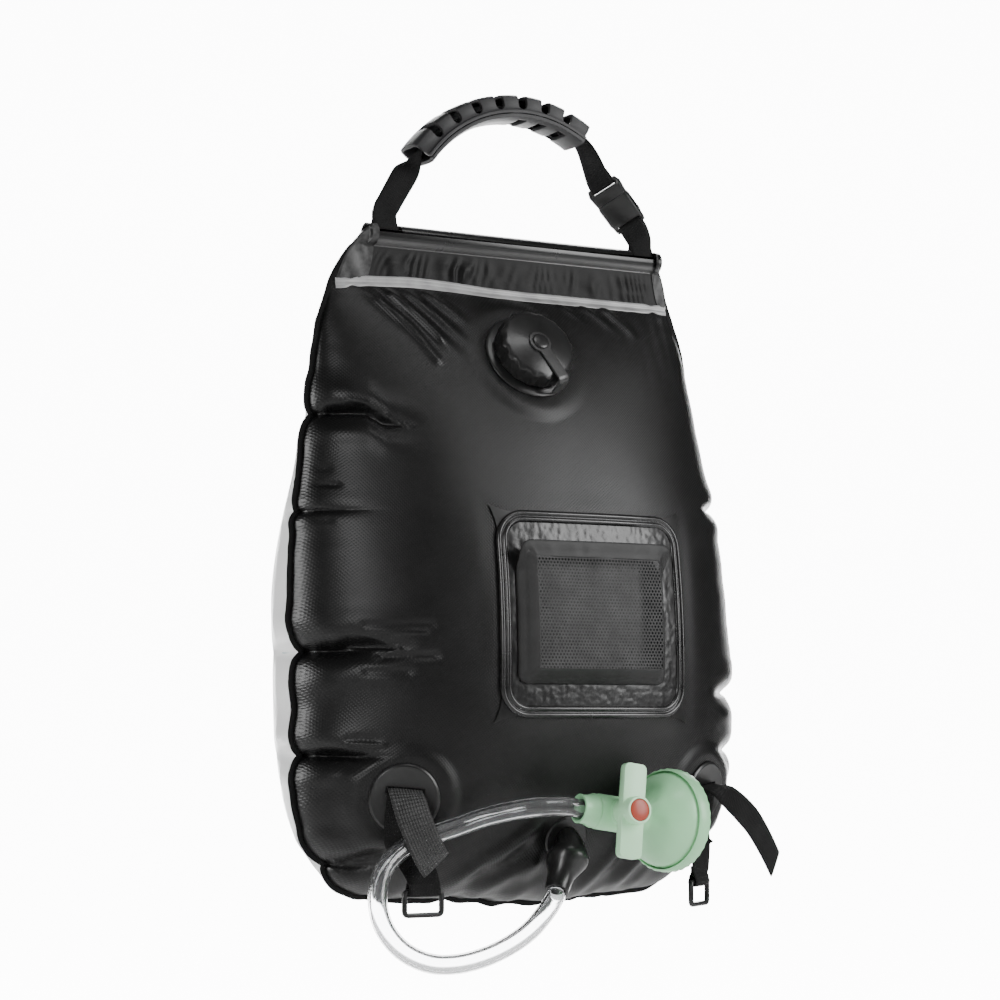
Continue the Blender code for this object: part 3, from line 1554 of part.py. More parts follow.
bowl_shares = (
    (0.0, 0.331), (0.10, 0.331), (0.20, 0.40), (0.30, 0.53), (0.42, 0.69), (0.56, 0.83), (0.72, 0.935),
    (0.87, 0.99), (1.0, 1.0),
)


def bowl_frame(share):
    """A frame in the bowl: its axis turns from the flow to the spray over the neck."""
    neck = head_place + flow_axis * (body_half_length + clearance)
    turn = min(share / 0.2, 1)
    axis = flow_axis * (1 - turn) + spray_axis * turn
    return frame_of(neck + spray_axis * (bowl_depth * share), axis, head_frame().col[2].to_3d())


def head_shell(carrier):
    """The bowl behind the spray plate, with the neck that joins the valve."""
    rings = []
    for share, radius_share in bowl_shares:
        rings.append(circle(bowl_frame(share), bowl_radius * radius_share, 0, 32))
    inner_shares = bowl_shares[:0:-1]
    for share, radius_share in inner_shares:
        inner = max(bowl_radius * radius_share - bowl_wall, flow_bore)
        back = 0 if share == 1 else bowl_wall * 0.6
        rings.append(circle(bowl_frame(share), inner, back, 32))
    rings.append(circle(bowl_frame(0), flow_bore, 0, 32))
    loft("head_shell", rings, "mint_plastic", carrier, closed=True)


def rim_frame():
    """The bowl's rim, with Z out of the spray face."""
    return bowl_frame(1)


def spray_plate(carrier):
    """Round plate with rings of spray holes."""
    loops = [round_loop(plate_radius, 32)]
    for ring, count in enumerate((1, 6, 12, 16)):
        for index in range(count):
            angle = 2 * math.pi * index / count
            x, y = ring * nozzle_pitch * math.cos(angle), ring * nozzle_pitch * math.sin(angle)
            loops.append([(x + u, y + v) for u, v in round_loop(nozzle_radius, 6)])
    extruded(
        "spray_plate", loops, clearance, clearance + plate_thickness, rim_frame(), "mint_plastic", carrier)


def head_ring(carrier):
    """Serrated ring that keeps the plate on the bowl."""
    inside = bowl_radius + clearance
    outside = inside + rim_wall
    top = plate_thickness + 2 * clearance
    steps = 2 * rim_teeth

    def teeth(index):
        return rim_tooth_depth if index % 2 else 0

    profile = (
        (inside, -rim_skirt), (inside + rim_wall * 0.3, -rim_skirt), (outside, -rim_skirt * 0.7),
        (outside, top), (outside - rim_wall, top + rim_wall),
        (inside - rim_lip, top + rim_wall), (inside - rim_lip, top), (inside, top),
    )
    rings = []
    for radius, height in profile:
        rings.append(circle(rim_frame(), radius, height, steps, teeth if radius == outside else None))
    loft("head_ring", rings, "mint_plastic", carrier, closed=True)


def build_handle():
    """The grip, straps and buckle, which stay with the hook."""
    grip_shell()
    handle_webbing()
    webbing_tab()
    buckle_female()
    buckle_male()
    for name, side in (("buckle_prong_front", 1), ("buckle_prong_rear", -1)):
        buckle_prong(name, side, axis_empty(name + "_axis", prong_pivot(side)))


def build_bag(bag):
    """Films, water, sleeve and rod."""
    front = film_panel("front_panel", -1, front_depth, "black_film", bag)
    port_hole(front, bag)
    film_panel("back_panel", 1, back_depth, "milky_film", bag)
    water_fill(bag)
    rod_sleeve(bag)
    hanging_rod(bag)


def build_cap(bag):
    """Port on the bag, tether on the lifting axis and cap on the turning one."""
    fill_port(bag)
    lift = axis_empty("cap_lift_axis", port_frame().translation, bag)
    cap_tether(lift)
    turn = axis_empty("cap_turn_axis", port_frame().translation, lift)
    fill_cap(turn)
    cap_gasket(turn)


def build_anchors(bag):
    """Patches, straps and tie-down rings at the lower corners."""
    for word, side in (("left", -1), ("right", 1)):
        anchor_patch("anchor_patch_" + word, side, bag)
        ring_webbing("ring_webbing_" + word, side, bag)
        anchor_ring("anchor_ring_" + word, side, axis_empty("ring_axis_" + word, ring_bar_point(side), bag))
    hose_strap("hose_strap_left", -1, hose_strap_left_route, (0.76, 0.46, -0.45), bag)
    hose_strap("hose_strap_right", 1, hose_strap_right_route, (0.80, 0.55, -0.25), bag)


def build_shower(bag):
    """Outlet, hose, valve and shower head."""
    outlet_flange(bag)
    outlet_boot(bag)
    hose(bag)
    hose_collar(bag)
    valve_body(bag)
    plug_seal(bag)
    head_shell(bag)
    spray_plate(bag)
    head_ring(bag)
    valve = axis_empty("valve_axis", head_place, bag)
    valve_plug(valve)
    valve_lever(valve)
    lever_button(valve)


def main():
    clear_scene()
    build_handle()
    bag = axis_empty("bag_axis", (0, 0, -rod_drop))
    build_bag(bag)
    build_cap(bag)
    pocket_sheet(bag)
    pocket_frame(bag)
    pocket_tape(bag)
    pocket_mesh(bag)
    build_anchors(bag)
    build_shower(bag)


main()
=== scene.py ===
"""Camp shower bag, hanging full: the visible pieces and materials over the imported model.

Metres, +Z up, the front facing -Y. A "drop" is a distance below the grip's underside.
"""

import json
import math

import bmesh
import bpy
from mathutils import Matrix, Vector, noise

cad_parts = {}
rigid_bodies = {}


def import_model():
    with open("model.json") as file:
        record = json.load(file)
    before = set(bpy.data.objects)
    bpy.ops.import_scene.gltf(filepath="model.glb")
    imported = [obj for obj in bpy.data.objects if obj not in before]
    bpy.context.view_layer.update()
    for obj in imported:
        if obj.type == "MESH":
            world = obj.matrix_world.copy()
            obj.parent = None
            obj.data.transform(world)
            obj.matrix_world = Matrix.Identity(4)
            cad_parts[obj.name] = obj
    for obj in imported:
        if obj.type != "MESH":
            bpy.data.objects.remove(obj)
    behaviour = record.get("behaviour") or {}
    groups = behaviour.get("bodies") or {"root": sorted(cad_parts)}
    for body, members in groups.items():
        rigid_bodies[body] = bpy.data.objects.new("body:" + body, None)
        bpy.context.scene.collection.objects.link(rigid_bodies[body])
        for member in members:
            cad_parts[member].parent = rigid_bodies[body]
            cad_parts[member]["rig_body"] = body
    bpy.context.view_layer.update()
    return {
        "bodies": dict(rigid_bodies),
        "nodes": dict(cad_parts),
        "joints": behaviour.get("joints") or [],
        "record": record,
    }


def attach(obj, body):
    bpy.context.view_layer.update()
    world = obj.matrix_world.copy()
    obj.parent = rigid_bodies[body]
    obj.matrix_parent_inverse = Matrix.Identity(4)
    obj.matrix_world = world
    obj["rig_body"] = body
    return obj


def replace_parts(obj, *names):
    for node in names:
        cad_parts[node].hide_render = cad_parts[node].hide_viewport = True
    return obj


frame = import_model()
nodes = frame["nodes"]

# Sizes repeated from the part
clearance = 0.0003
rod_drop = 0.0985
weld_drop = 0.1365
seam_drop = 0.5965
bag_half_width = 0.188
corner_radius = 0.08
right_corner_radius = 0.105
side_lean = 0.01
lean_shares = ((0.0, 1.0), (0.2, 0.8), (0.5, 0.35), (0.62, 0.0), (1.0, 0.0))
front_bulge = 0.092
back_bulge = 0.094
front_fullness = 2.6
film = 0.0012
side_shares = (
    (-0.12, 0.66), (0.0, 0.787), (0.065, 0.835), (0.152, 0.87), (0.272, 0.915),
    (0.404, 0.965), (0.52, 0.985), (1.0, 0.975),
)
deepest_share = 0.62
hose_radius = 0.007
hose_bore = 0.005
rod_radius = 0.005
handle_webbing_width = 0.02
webbing_thickness = 0.0015
strap_place = 0.115
sewn_length = 0.007
grip_radius = 0.1085
grip_left_angle = math.radians(54)
grip_right_angle = math.radians(31)
grip_half_thickness = 0.0103
grip_half_width = 0.0145
grip_flange = 0.0035
slot_width = 0.0078
rib_count = 8
first_low_slot = 4
buckle_tilt = math.radians(47)
buckle_twist = math.radians(50)
buckle_place = 0.0886
buckle_drop = 0.0502
socket_end = 0.0278
male_length = 0.015
buckle_bar_half = 0.0013
pocket_place = 0.016
pocket_drop = 0.385498
pocket_width = 0.164
pocket_height = 0.152
pocket_corner = 0.023
pocket_film = 0.0007
pocket_lift = 0.0001
bead_half_width = 0.0045
bead_height = 0.002
tape_width = 0.129
tape_height = 0.103
tape_band = 0.012
tape_corner = 0.008
tape_thickness = 0.0012
tape_offset = -0.004
pocket_depth = 0.012
port_radius = 0.036
boot_radius = 0.0175
anchor_place = 0.1295
anchor_drop = 0.5195
anchor_radius = 0.026
anchor_thickness = 0.0022
anchor_slot_rise = 0.006
strap_width = 0.025
ring_place = 0.119
ring_gap = 0.0109
ring_drop = 0.585
ring_bar = 0.0036
ring_right_turn = math.radians(32)

# Sizes taken from those above
rod_turn = rod_radius + clearance + webbing_thickness / 2
bar_turn = buckle_bar_half * math.sqrt(2) + clearance + webbing_thickness / 2
half_layer = (webbing_thickness + clearance) / 2
sheet_base = 2 * clearance + pocket_film

# Straps' points over their patch: across, up and out
hose_strap_left_route = (
    (0, 0.0069, 0.0036), (0.0005, 0.006, 0.01), (0.0025, 0.0015, 0.0175), (0.0065, -0.0078, 0.0238),
    (0.012, -0.0185, 0.0276), (0.0175, -0.0285, 0.0278), (0.0225, -0.0365, 0.025), (0.026, -0.0415, 0.0205),
)
hose_strap_right_route = (
    (0, 0.0069, 0.0036), (0.0005, 0.0071, 0.009), (0.0015, 0.0064, 0.015), (0.005, 0.0022, 0.021),
    (0.015, -0.006, 0.027), (0.029, -0.018, 0.032), (0.046, -0.036, 0.036), (0.063, -0.0555, 0.039),
)


# The photo's camera: distance, metres and pixels at the bag, pixels that it looks up
camera_reach = 2.0
pixel_size = 0.000765
look_up = 220
picture_width = 1000
sensor_width = 36


# Meshes and objects

def quads(rows, size, wrap=False, loop=False, base=0):
    """Faces of a grid: wrap joins each row's ends, loop joins the last row to the first."""
    faces = []
    for row in range(rows if loop else rows - 1):
        here, there = base + row * size, base + (row + 1) % rows * size
        for step in range(size if wrap else size - 1):
            after = (step + 1) % size
            faces.append((here + step, here + after, there + after, there + step))
    return faces


def add_object(name, data):
    item = bpy.data.objects.new(name, data)
    bpy.context.scene.collection.objects.link(item)
    return item


def make_mesh(name, points, faces):
    mesh = bpy.data.meshes.new(name)
    mesh.from_pydata([tuple(point) for point in points], [], faces)
    return mesh


def face_outwards(mesh):
    made = bmesh.new()
    made.from_mesh(mesh)
    bmesh.ops.recalc_face_normals(made, faces=made.faces)
    made.to_mesh(mesh)
    made.free()


def applied(item):
    """An object's mesh with its modifiers applied, which are then taken off."""
    mesh = bpy.data.meshes.new_from_object(item.evaluated_get(bpy.context.evaluated_depsgraph_get()))
    item.modifiers.clear()
    return mesh


# Camera, light and backdrop

def aim(item, place, target):
    item.location = place
    item.rotation_euler = (Vector(target) - Vector(place)).to_track_quat("-Z", "Y").to_euler()


def make_camera():
    """The photo's view: 2 m away, 30 degrees round to the left, looking slightly up."""
    item = add_object("camera", bpy.data.cameras.new("camera"))
    bpy.context.scene.camera = item
    pitch, turn = math.atan(look_up * pixel_size / camera_reach), math.radians(30)
    place = Vector((-1.014, -1.732, -0.463))
    ahead = Vector((math.sin(turn) * math.cos(pitch), math.cos(turn) * math.cos(pitch), math.sin(pitch)))
    aim(item, place, place + ahead)
    item.data.sensor_width = sensor_width
    item.data.lens = sensor_width * (camera_reach / pixel_size) / picture_width
    item.data.clip_start, item.data.clip_end = 0.05, 60


def area_light(name, place, target, size, power):
    lamp = bpy.data.lights.new(name, "AREA")
    lamp.shape = "RECTANGLE"
    lamp.size, lamp.size_y = size
    lamp.energy = power
    aim(add_object(name, lamp), place, target)


def make_light():
    world = bpy.data.worlds.new("studio")
    bpy.context.scene.world = world
    world.use_nodes = True
    colour, strength = world.node_tree.nodes["Background"].inputs[:2]
    colour.default_value, strength.default_value = (1, 1, 1, 1), 0.07
    area_light("key_light", (1.9, -2.3, 0.6), (0, 0, -0.38), (1.2, 2.0), 92)
    area_light("top_light", (0.2, -1.5, 2.2), (0, 0, -0.2), (1.2, 0.4), 16)
    area_light("left_light", (-2.0, -1.5, 0.2), (0, 0, -0.35), (0.5, 0.9), 26)
    area_light("back_light", (-2.2, 1.6, -0.1), (0, 0, -0.4), (0.8, 1.2), 40)


def make_backdrop():
    """A pale floor well under the bag that curves up into a glowing wall."""
    floor, reach, bend, steps, half = -1.25, 5.0, 3, 16, 3.4
    profile = [(-8.0, floor), (reach, floor)]
    for index in range(1, steps + 1):
        angle = math.pi / 2 * index / steps
        profile.append((reach + bend * math.sin(angle), floor + bend * (1 - math.cos(angle))))
    profile.append((reach + bend, 9.0))
    points = [(side, along, height) for along, height in profile for side in (-half, half)]
    mesh = make_mesh("backdrop", points, quads(len(profile), 2))
    mesh.shade_smooth()
    item = add_object("backdrop", mesh)
    item.rotation_euler = (0, 0, math.radians(-30))
    paper = shaded("backdrop_paper", (0.72, 0.72, 0.72), 0.9)
    shader_of(paper).inputs["Emission Color"].default_value = (1, 1, 1, 1)
    glow = ranged(paper, coordinate(paper, "Y"), 3.6, 4.8, 0.0, 11.0)
    link(paper, glow, shader_of(paper).inputs["Emission Strength"])
    grain(paper, 40, 0.02, 0.002)
    mesh.materials.append(paper)


# Materials

def shaded(name, colour, roughness):
    made = bpy.data.materials.new(name)
    made.use_nodes = True
    shader_of(made).inputs["Base Color"].default_value = (*colour, 1)
    shader_of(made).inputs["Roughness"].default_value = roughness
    made.diffuse_color = (*colour, 1)
    return made


def add(made, kind, **settings):
    node = made.node_tree.nodes.new(kind)
    for key, value in settings.items():
        if hasattr(node, key):
            setattr(node, key, value)
        else:
            node.inputs[key.replace("_", " ")].default_value = value
    return node


def link(made, source, target):
    made.node_tree.links.new(source, target)


def shader_of(made):
    return made.node_tree.nodes["Principled BSDF"]


def place_node(made, rotation=(0, 0, 0), uv=False):
    coordinates = add(made, "ShaderNodeTexCoord")
    mapping = add(made, "ShaderNodeMapping")
    mapping.inputs["Rotation"].default_value = rotation
    link(made, coordinates.outputs["UV" if uv else "Object"], mapping.inputs["Vector"])
    return mapping.outputs["Vector"]


def bump(made, height, strength, distance):
    node = add(made, "ShaderNodeBump", Strength=strength, Distance=distance)
    link(made, height, node.inputs["Height"])
    shader = shader_of(made)
    if shader.inputs["Normal"].is_linked:
        link(made, shader.inputs["Normal"].links[0].from_socket, node.inputs["Normal"])
    link(made, node.outputs["Normal"], shader.inputs["Normal"])


def noisy(made, scale, detail):
    source = add(made, "ShaderNodeTexNoise", Scale=scale, Detail=detail)
    link(made, place_node(made), source.inputs["Vector"])
    return source.outputs["Fac"]


def coordinate(made, axis):
    apart = add(made, "ShaderNodeSeparateXYZ")
    link(made, place_node(made), apart.inputs[0])
    return apart.outputs[axis]


def ranged(made, source, low, high, first, last):
    """A value moved from one range to another."""
    node = add(made, "ShaderNodeMapRange", From_Min=low, From_Max=high, To_Min=first, To_Max=last)
    link(made, source, node.inputs["Value"])
    return node.outputs["Result"]


def toned(made, source, stops):
    """The base colour, from a value over (place, colour) stops."""
    ramp = add(made, "ShaderNodeValToRGB")
    elements = ramp.color_ramp.elements
    while len(elements) < len(stops):
        elements.new(0.5)
    for element, (place, colour) in zip(elements, stops):
        element.position = place
        element.color = (*colour, 1)
    link(made, source, ramp.inputs["Fac"])
    link(made, ramp.outputs["Color"], shader_of(made).inputs["Base Color"])


def grain(made, scale, strength, distance):
    """A fine moulded grain."""
    bump(made, noisy(made, scale, 4), strength, distance)


def mottle(made, dark, light, scale):
    """A colour that wanders between two tones."""
    toned(made, noisy(made, scale, 5), ((0.35, dark), (0.65, light)))


def painted_light_by_height(made, bottom, top, tones):
    """Painted light: greys at shares of the way up between two heights."""
    share = ranged(made, coordinate(made, "Z"), bottom, top, 0.0, 1.0)
    toned(made, share, [(place, (tone, tone, tone)) for place, tone in tones])


def wander(made, low, high, scale):
    """A roughness that wanders between two values."""
    spread = ranged(made, noisy(made, scale, 3), 0.0, 1.0, low, high)
    link(made, spread, shader_of(made).inputs["Roughness"])


def waves(made, pitch, turn, uv=False):
    """Bands at a pitch in metres, turned about the depth axis."""
    source = add(made, "ShaderNodeTexWave", wave_type="BANDS", bands_direction="X")
    source.inputs["Scale"].default_value = math.pi / 10 / pitch
    source.inputs["Distortion"].default_value = 0
    rotation = (0, 0, turn) if uv else (0, turn, 0)
    link(made, place_node(made, rotation=rotation, uv=uv), source.inputs["Vector"])
    return source.outputs["Fac"]


def joined(made, first, second, operation):
    node = add(made, "ShaderNodeMath", operation=operation)
    link(made, first, node.inputs[0])
    link(made, second, node.inputs[1])
    return node.outputs[0]


def emboss(made, pitch, strength, distance):
    """The film's diagonal diamond emboss."""
    first = waves(made, pitch, math.radians(38))
    second = waves(made, pitch, math.radians(-52))
    bump(made, joined(made, first, second, "MULTIPLY"), strength, distance)


def weave(made, pitch, strength, distance):
    """Ribs across a strap with a fine weave along it, from the strap's own coordinates."""
    across = waves(made, pitch, math.radians(90), uv=True)
    along = waves(made, pitch * 0.7, 0, uv=True)
    bump(made, joined(made, across, along, "ADD"), strength, distance)


def plastic(name, dark, light, low, high, scale, strength, specular=None):
    dark, light = ((tone,) * 3 if isinstance(tone, float) else tone for tone in (dark, light))
    made = shaded(name + "_look", light, (low + high) / 2)
    mottle(made, dark, light, scale)
    wander(made, low, high, scale * 2)
    grain(made, 900, strength, 0.0002)
    if specular is not None:
        shader_of(made).inputs["Specular IOR Level"].default_value = specular
    return made


# Dark and light tone, lowest and highest roughness, scale of the tones, grain, specular level
look_rows = {
    "black_film": (0.003, 0.006, 0.33, 0.42, 14, 0.04, 0.34),
    "web_film": (0.003, 0.007, 0.42, 0.52, 40, 0.1, 0.16),
    "seam_film": (0.003, 0.007, 0.6, 0.7, 40, 0.1, 0.16),
    "milky_film": ((0.84, 0.845, 0.84), (0.9, 0.905, 0.9), 0.3, 0.4, 10, 0.03),
    "sleeve_film": (0.008, 0.022, 0.24, 0.34, 20, 0.04, 0.45),
    "shoulder_film": (0.006, 0.07, 0.34, 0.46, 90, 0.1, 0.2),
    "water": ((0.6, 0.7, 0.72), (0.66, 0.76, 0.78), 0.03, 0.05, 30, 0.15),
    "white_plastic": ((0.7, 0.7, 0.68), (0.76, 0.76, 0.74), 0.4, 0.48, 30, 0.15),
    "black_webbing": (0.003, 0.008, 0.75, 0.9, 60, 0.2, 0.25),
    "ribbed_webbing": (0.03, 0.05, 0.6, 0.75, 60, 0.2),
    "grip_rubber": ((0.015, 0.015, 0.016), (0.026, 0.026, 0.027), 0.46, 0.58, 30, 0.15, 0.4),
    "black_plastic": (0.01, 0.018, 0.26, 0.36, 30, 0.15, 0.45),
    "tether_plastic": (0.03, 0.055, 0.3, 0.42, 30, 0.15),
    "clear_vinyl": (0.003, 0.009, 0.26, 0.38, 40, 0.1),
    "vinyl_weld": (0.008, 0.022, 0.2, 0.3, 40, 0.1),
    "weld_grey": (0.22, 0.34, 0.25, 0.4, 60, 0.1),
    "pocket_tape": (0.006, 0.014, 0.5, 0.65, 50, 0.3),
    "net_thread": (0.028, 0.046, 0.6, 0.75, 80, 0.3),
    "mint_plastic": ((0.34, 0.7, 0.39), (0.37, 0.74, 0.42), 0.3, 0.38, 18, 0.05),
    "mint_lever": ((0.47, 0.83, 0.51), (0.51, 0.87, 0.55), 0.3, 0.38, 18, 0.05),
    "red_button": ((0.36, 0.05, 0.026), (0.43, 0.068, 0.038), 0.34, 0.44, 40, 0.1),
    "seal_rubber": (0.02, 0.035, 0.7, 0.85, 30, 0.15),
    "clear_hose": ((0.93, 0.94, 0.95), (0.97, 0.975, 0.98), 0.04, 0.1, 20, 0.02),
}

# Greys of the sleeve at shares of the way up its tube: a painted highlight band near its lower edge and a
# painted highlight line on top, the film's own near-black between
sleeve_half_height = 0.0085
sleeve_painted_highlights = (
    (0, 0.1), (0.08, 0.12), (0.17, 0.11), (0.27, 0.01), (0.5, 0.006), (0.78, 0.004), (0.86, 0.02),
    (0.94, 0.12),
)


def make_materials():
    made = {name: plastic(name, *row) for name, row in look_rows.items()}
    emboss(made["black_film"], 0.0018, 0.45, 0.0003)
    shader_of(made["milky_film"]).inputs["Subsurface Weight"].default_value = 0.3
    shader_of(made["milky_film"]).inputs["Subsurface Radius"].default_value = (0.01, 0.01, 0.01)
    # Painted highlights on the sleeve's tube: light grey bands set by height, not by any lamp
    painted_light_by_height(made["sleeve_film"], -rod_drop - sleeve_half_height, -rod_drop + sleeve_half_height, sleeve_painted_highlights)
    weave(made["black_webbing"], 0.0018, 0.6, 0.0004)
    weave(made["ribbed_webbing"], 0.003, 1.0, 0.001)
    shader_of(made["clear_hose"]).inputs["Transmission Weight"].default_value = 0.985
    shader_of(made["clear_hose"]).inputs["IOR"].default_value = 1.42
    return made


looks = {}


def dress(item, finish):
    item.data.materials.clear()
    item.data.materials.append(looks[finish])
    return item


def piece(name, points, faces, finish, body, standing_for=(), uvs=None):
    mesh = make_mesh(name, points, faces)
    if uvs:
        layer = mesh.uv_layers.new(name="strap")
        for loop in mesh.loops:
            layer.data[loop.index].uv = uvs[loop.vertex_index]
    mesh.validate()
    mesh.shade_smooth()
    item = dress(add_object(name, mesh), finish)
    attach(item, body)
    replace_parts(item, *standing_for)
    return item


# Bag films

def hermite(t):
    """The weights of a curve's start, and of its slopes at its start and end."""
    return 2 * t ** 3 - 3 * t ** 2 + 1, t ** 3 - 2 * t ** 2 + t, t ** 3 - t ** 2


def smooth_share(table, place):
    last = len(table) - 1
    index = 0
    while index < last - 1 and place > table[index + 1][0]:
        index += 1

    def slope(at):
        low, high = max(at - 1, 0), min(at + 1, last)
        return (table[high][1] - table[low][1]) / (table[high][0] - table[low][0])

    (start, low_value), (end, high_value) = table[index], table[index + 1]
    span = end - start
    near, leave, arrive = hermite(min(max((place - start) / span, 0), 1))
    return (low_value * near + high_value * (1 - near)
            + slope(index) * (leave * span) + slope(index + 1) * (arrive * span))


def half_width(drop, side):
    share = (drop - weld_drop) / (seam_drop - weld_drop)
    width = bag_half_width * smooth_share(side_shares, share)
    lean = side_lean * smooth_share(lean_shares, max(share, 0))
    corner = corner_radius
    if side > 0:
        lean = -lean
        corner = right_corner_radius
    rise = max(seam_drop - drop, 0)
    if rise < corner:
        width -= corner - math.sqrt(corner ** 2 - (corner - rise) ** 2)
    return width + lean


def swell(across, drop, bulge, fullness, softness=0.55):
    share = (drop - weld_drop) / (seam_drop - weld_drop)
    if share <= 0 or share >= 1:
        return 0
    if share < deepest_share:
        upright = (1 - (1 - share / deepest_share) ** 2) ** 0.75
    else:
        upright = (1 - (1 - (1 - share) / (1 - deepest_share)) ** 2) ** 0.34
    edge = min(abs(across) / half_width(drop, across), 1)
    return bulge * upright * (1 - edge ** fullness) ** softness


def front_swell(across, drop):
    return swell(across, drop, front_bulge, front_fullness)


def back_swell(across, drop):
    """The back film stands out past the side seams between the shoulders and the lower corners."""
    fuller = ease((drop - 0.2) / 0.2) * (1 - 0.5 * ease((drop - 0.47) / 0.07))
    return swell(across, drop, back_bulge, 3.2 + 3.8 * fuller, 0.55 - 0.19 * fuller)


def slopes(height, across, drop):
    """How fast a film's height changes across and down."""
    step = 0.001
    return ((height(across + step, drop) - height(across - step, drop)) / (2 * step),
            (height(across, drop + step) - height(across, drop - step)) / (2 * step))


def seat(across, drop, radius, flat, free):
    """A fitting's place on the front: the film is flat near it and free further out."""
    slope_across, slope_drop = slopes(front_swell, across, drop)
    return {
        "across": across, "drop": drop, "radius": radius * flat, "blend": radius * free,
        "depth": front_swell(across, drop), "slope_across": slope_across, "slope_drop": slope_drop,
    }


seats = [
    seat(-0.014, 0.1895, port_radius, 1.06, 1.45), seat(0, 0.5495, boot_radius, 1.1, 1.8),
    seat(-anchor_place, anchor_drop, anchor_radius, 1.1, 1.6),
    seat(anchor_place, anchor_drop, anchor_radius, 1.1, 1.6),
]


def ease(value):
    value = min(max(value, 0), 1)
    return value * value * (3 - 2 * value)


def calm(across, drop):
    """1 where the film is free, 0 where a fitting or the pocket is welded to it."""
    free = 1.0
    for spot in seats:
        away = math.hypot(across - spot["across"], drop - spot["drop"])
        free *= ease((away - spot["radius"]) / (0.9 * (spot["blend"] - spot["radius"])))
    off = max(abs(across - pocket_place) - pocket_width / 2, abs(drop - pocket_drop) - pocket_height / 2)
    return free * ease((off - 0.002) / 0.014)


def front_depth(across, drop):
    depth = front_swell(across, drop)
    for spot in seats:
        off_across, off_drop = across - spot["across"], drop - spot["drop"]
        away = math.hypot(off_across, off_drop)
        if away < spot["blend"]:
            plane = spot["depth"] + off_across * spot["slope_across"] + off_drop * spot["slope_drop"]
            t = ease((spot["blend"] - away) / (spot["blend"] - spot["radius"]))
            depth += (plane - depth) * t
    return depth


# Creases that run in from the side seams: side, (inward, drop) places, width, depth, pull
creases = (
    (-1, ((0, 0.2386), (0.016, 0.2388), (0.03, 0.2396), (0.041, 0.2475), (0.054, 0.249)),
     0.0056, 0.01, 0.0065),
    (-1, ((0, 0.311), (0.01, 0.3112)), 0.0026, 0.0014, 0.0035),
    (-1, ((0, 0.4135), (0.015, 0.4138), (0.022, 0.4105), (0.05, 0.4112)), 0.0066, 0.01, 0.0095),
    (-1, ((0, 0.489), (0.012, 0.4897), (0.027, 0.4909)), 0.005, 0.008, 0.008),
    (-1, ((0, 0.567), (0.018, 0.563), (0.042, 0.5575)), 0.005, 0.008, 0.0075),
    (1, ((0, 0.2985), (0.028, 0.3)), 0.0045, 0.005, 0.005),
    (1, ((0, 0.4415), (0.04, 0.444)), 0.006, 0.008, 0.006),
    (1, ((0, 0.4865), (0.03, 0.4865)), 0.005, 0.006, 0.0045),
    (1, ((0, 0.5665), (0.036, 0.563)), 0.006, 0.007, 0.006),
)

# Thin ridges beside the creases and shadows at the seam: (across, drop) places, width, height
ridges = (
    (((-0.16, 0.229), (-0.149, 0.2314), (-0.1352, 0.242), (-0.1231, 0.2486)), 0.0016, 0.0016),
    (((-0.1429, 0.2398), (-0.1387, 0.2496), (-0.1364, 0.2526), (-0.1231, 0.2486)), 0.0014, 0.0013),
    (((-0.1577, 0.3988), (-0.1387, 0.3999), (-0.1187, 0.3999)), 0.0015, 0.0013),
    (((-0.1577, 0.4027), (-0.147, 0.406), (-0.1362, 0.4112)), 0.0014, 0.0013),
    (((-0.1361, 0.4121), (-0.1488, 0.4186)), 0.0014, 0.0012),
    (((-0.1477, 0.418), (-0.1126, 0.4171)), 0.0032, -0.0026),
    (((-0.1562, 0.4286), (-0.131, 0.4286)), 0.0032, -0.0018),
    (((-0.1577, 0.395), (-0.115, 0.395)), 0.003, -0.0016),
    (((-0.1695, 0.4824), (-0.1587, 0.4895)), 0.0014, 0.0012),
    (((-0.1665, 0.4802), (-0.1451, 0.4809)), 0.0016, 0.0012),
    (((-0.1665, 0.4765), (-0.15, 0.4765)), 0.0026, -0.0014),
    (((-0.158, 0.4916), (-0.14, 0.49)), 0.0026, -0.0016),
    (((-0.183, 0.2788), (-0.174, 0.2801)), 0.0019, -0.0016),
    (((-0.184, 0.2915), (-0.17, 0.2923)), 0.0023, -0.002),
    (((-0.185, 0.3177), (-0.176, 0.3187)), 0.0023, -0.002),
    (((-0.126, 0.15), (-0.108, 0.169), (-0.092, 0.196)), 0.0035, 0.0022),
    (((-0.115, 0.145), (-0.099, 0.162), (-0.086, 0.179)), 0.0028, 0.002),
)

# Long soft folds: first place, last place, width, depth
folds = (
    ((-0.115, 0.1445), (-0.08, 0.1845), 0.005, 0.0035),
    ((-0.1, 0.1425), (-0.07, 0.1745), 0.004, 0.0025),
    ((-0.132, 0.1465), (-0.105, 0.1745), 0.0045, 0.0025),
    ((-0.085, 0.1405), (-0.062, 0.1605), 0.0035, 0.0018),
    ((0.055, 0.1405), (0.074, 0.1585), 0.0035, 0.0016),
    ((0.075, 0.1405), (0.093, 0.1605), 0.004, 0.0018),
    ((0.033, 0.1405), (0.047, 0.1525), 0.003, 0.0012),
    ((-0.0308, 0.5433), (-0.0858, 0.5871), 0.0065, 0.005),
    ((-0.01, 0.5585), (-0.06, 0.5925), 0.006, 0.004),
    ((0.06, 0.5465), (0.025, 0.5895), 0.007, 0.0045),
    ((0.085, 0.5525), (0.06, 0.5915), 0.006, 0.004),
    ((-0.134, 0.5515), (-0.098, 0.5925), 0.006, 0.0035),
)


def wavy(place, seed):
    return noise.noise(Vector((place, seed, 0.37)))


def bell(off):
    return math.exp(-off ** 2)


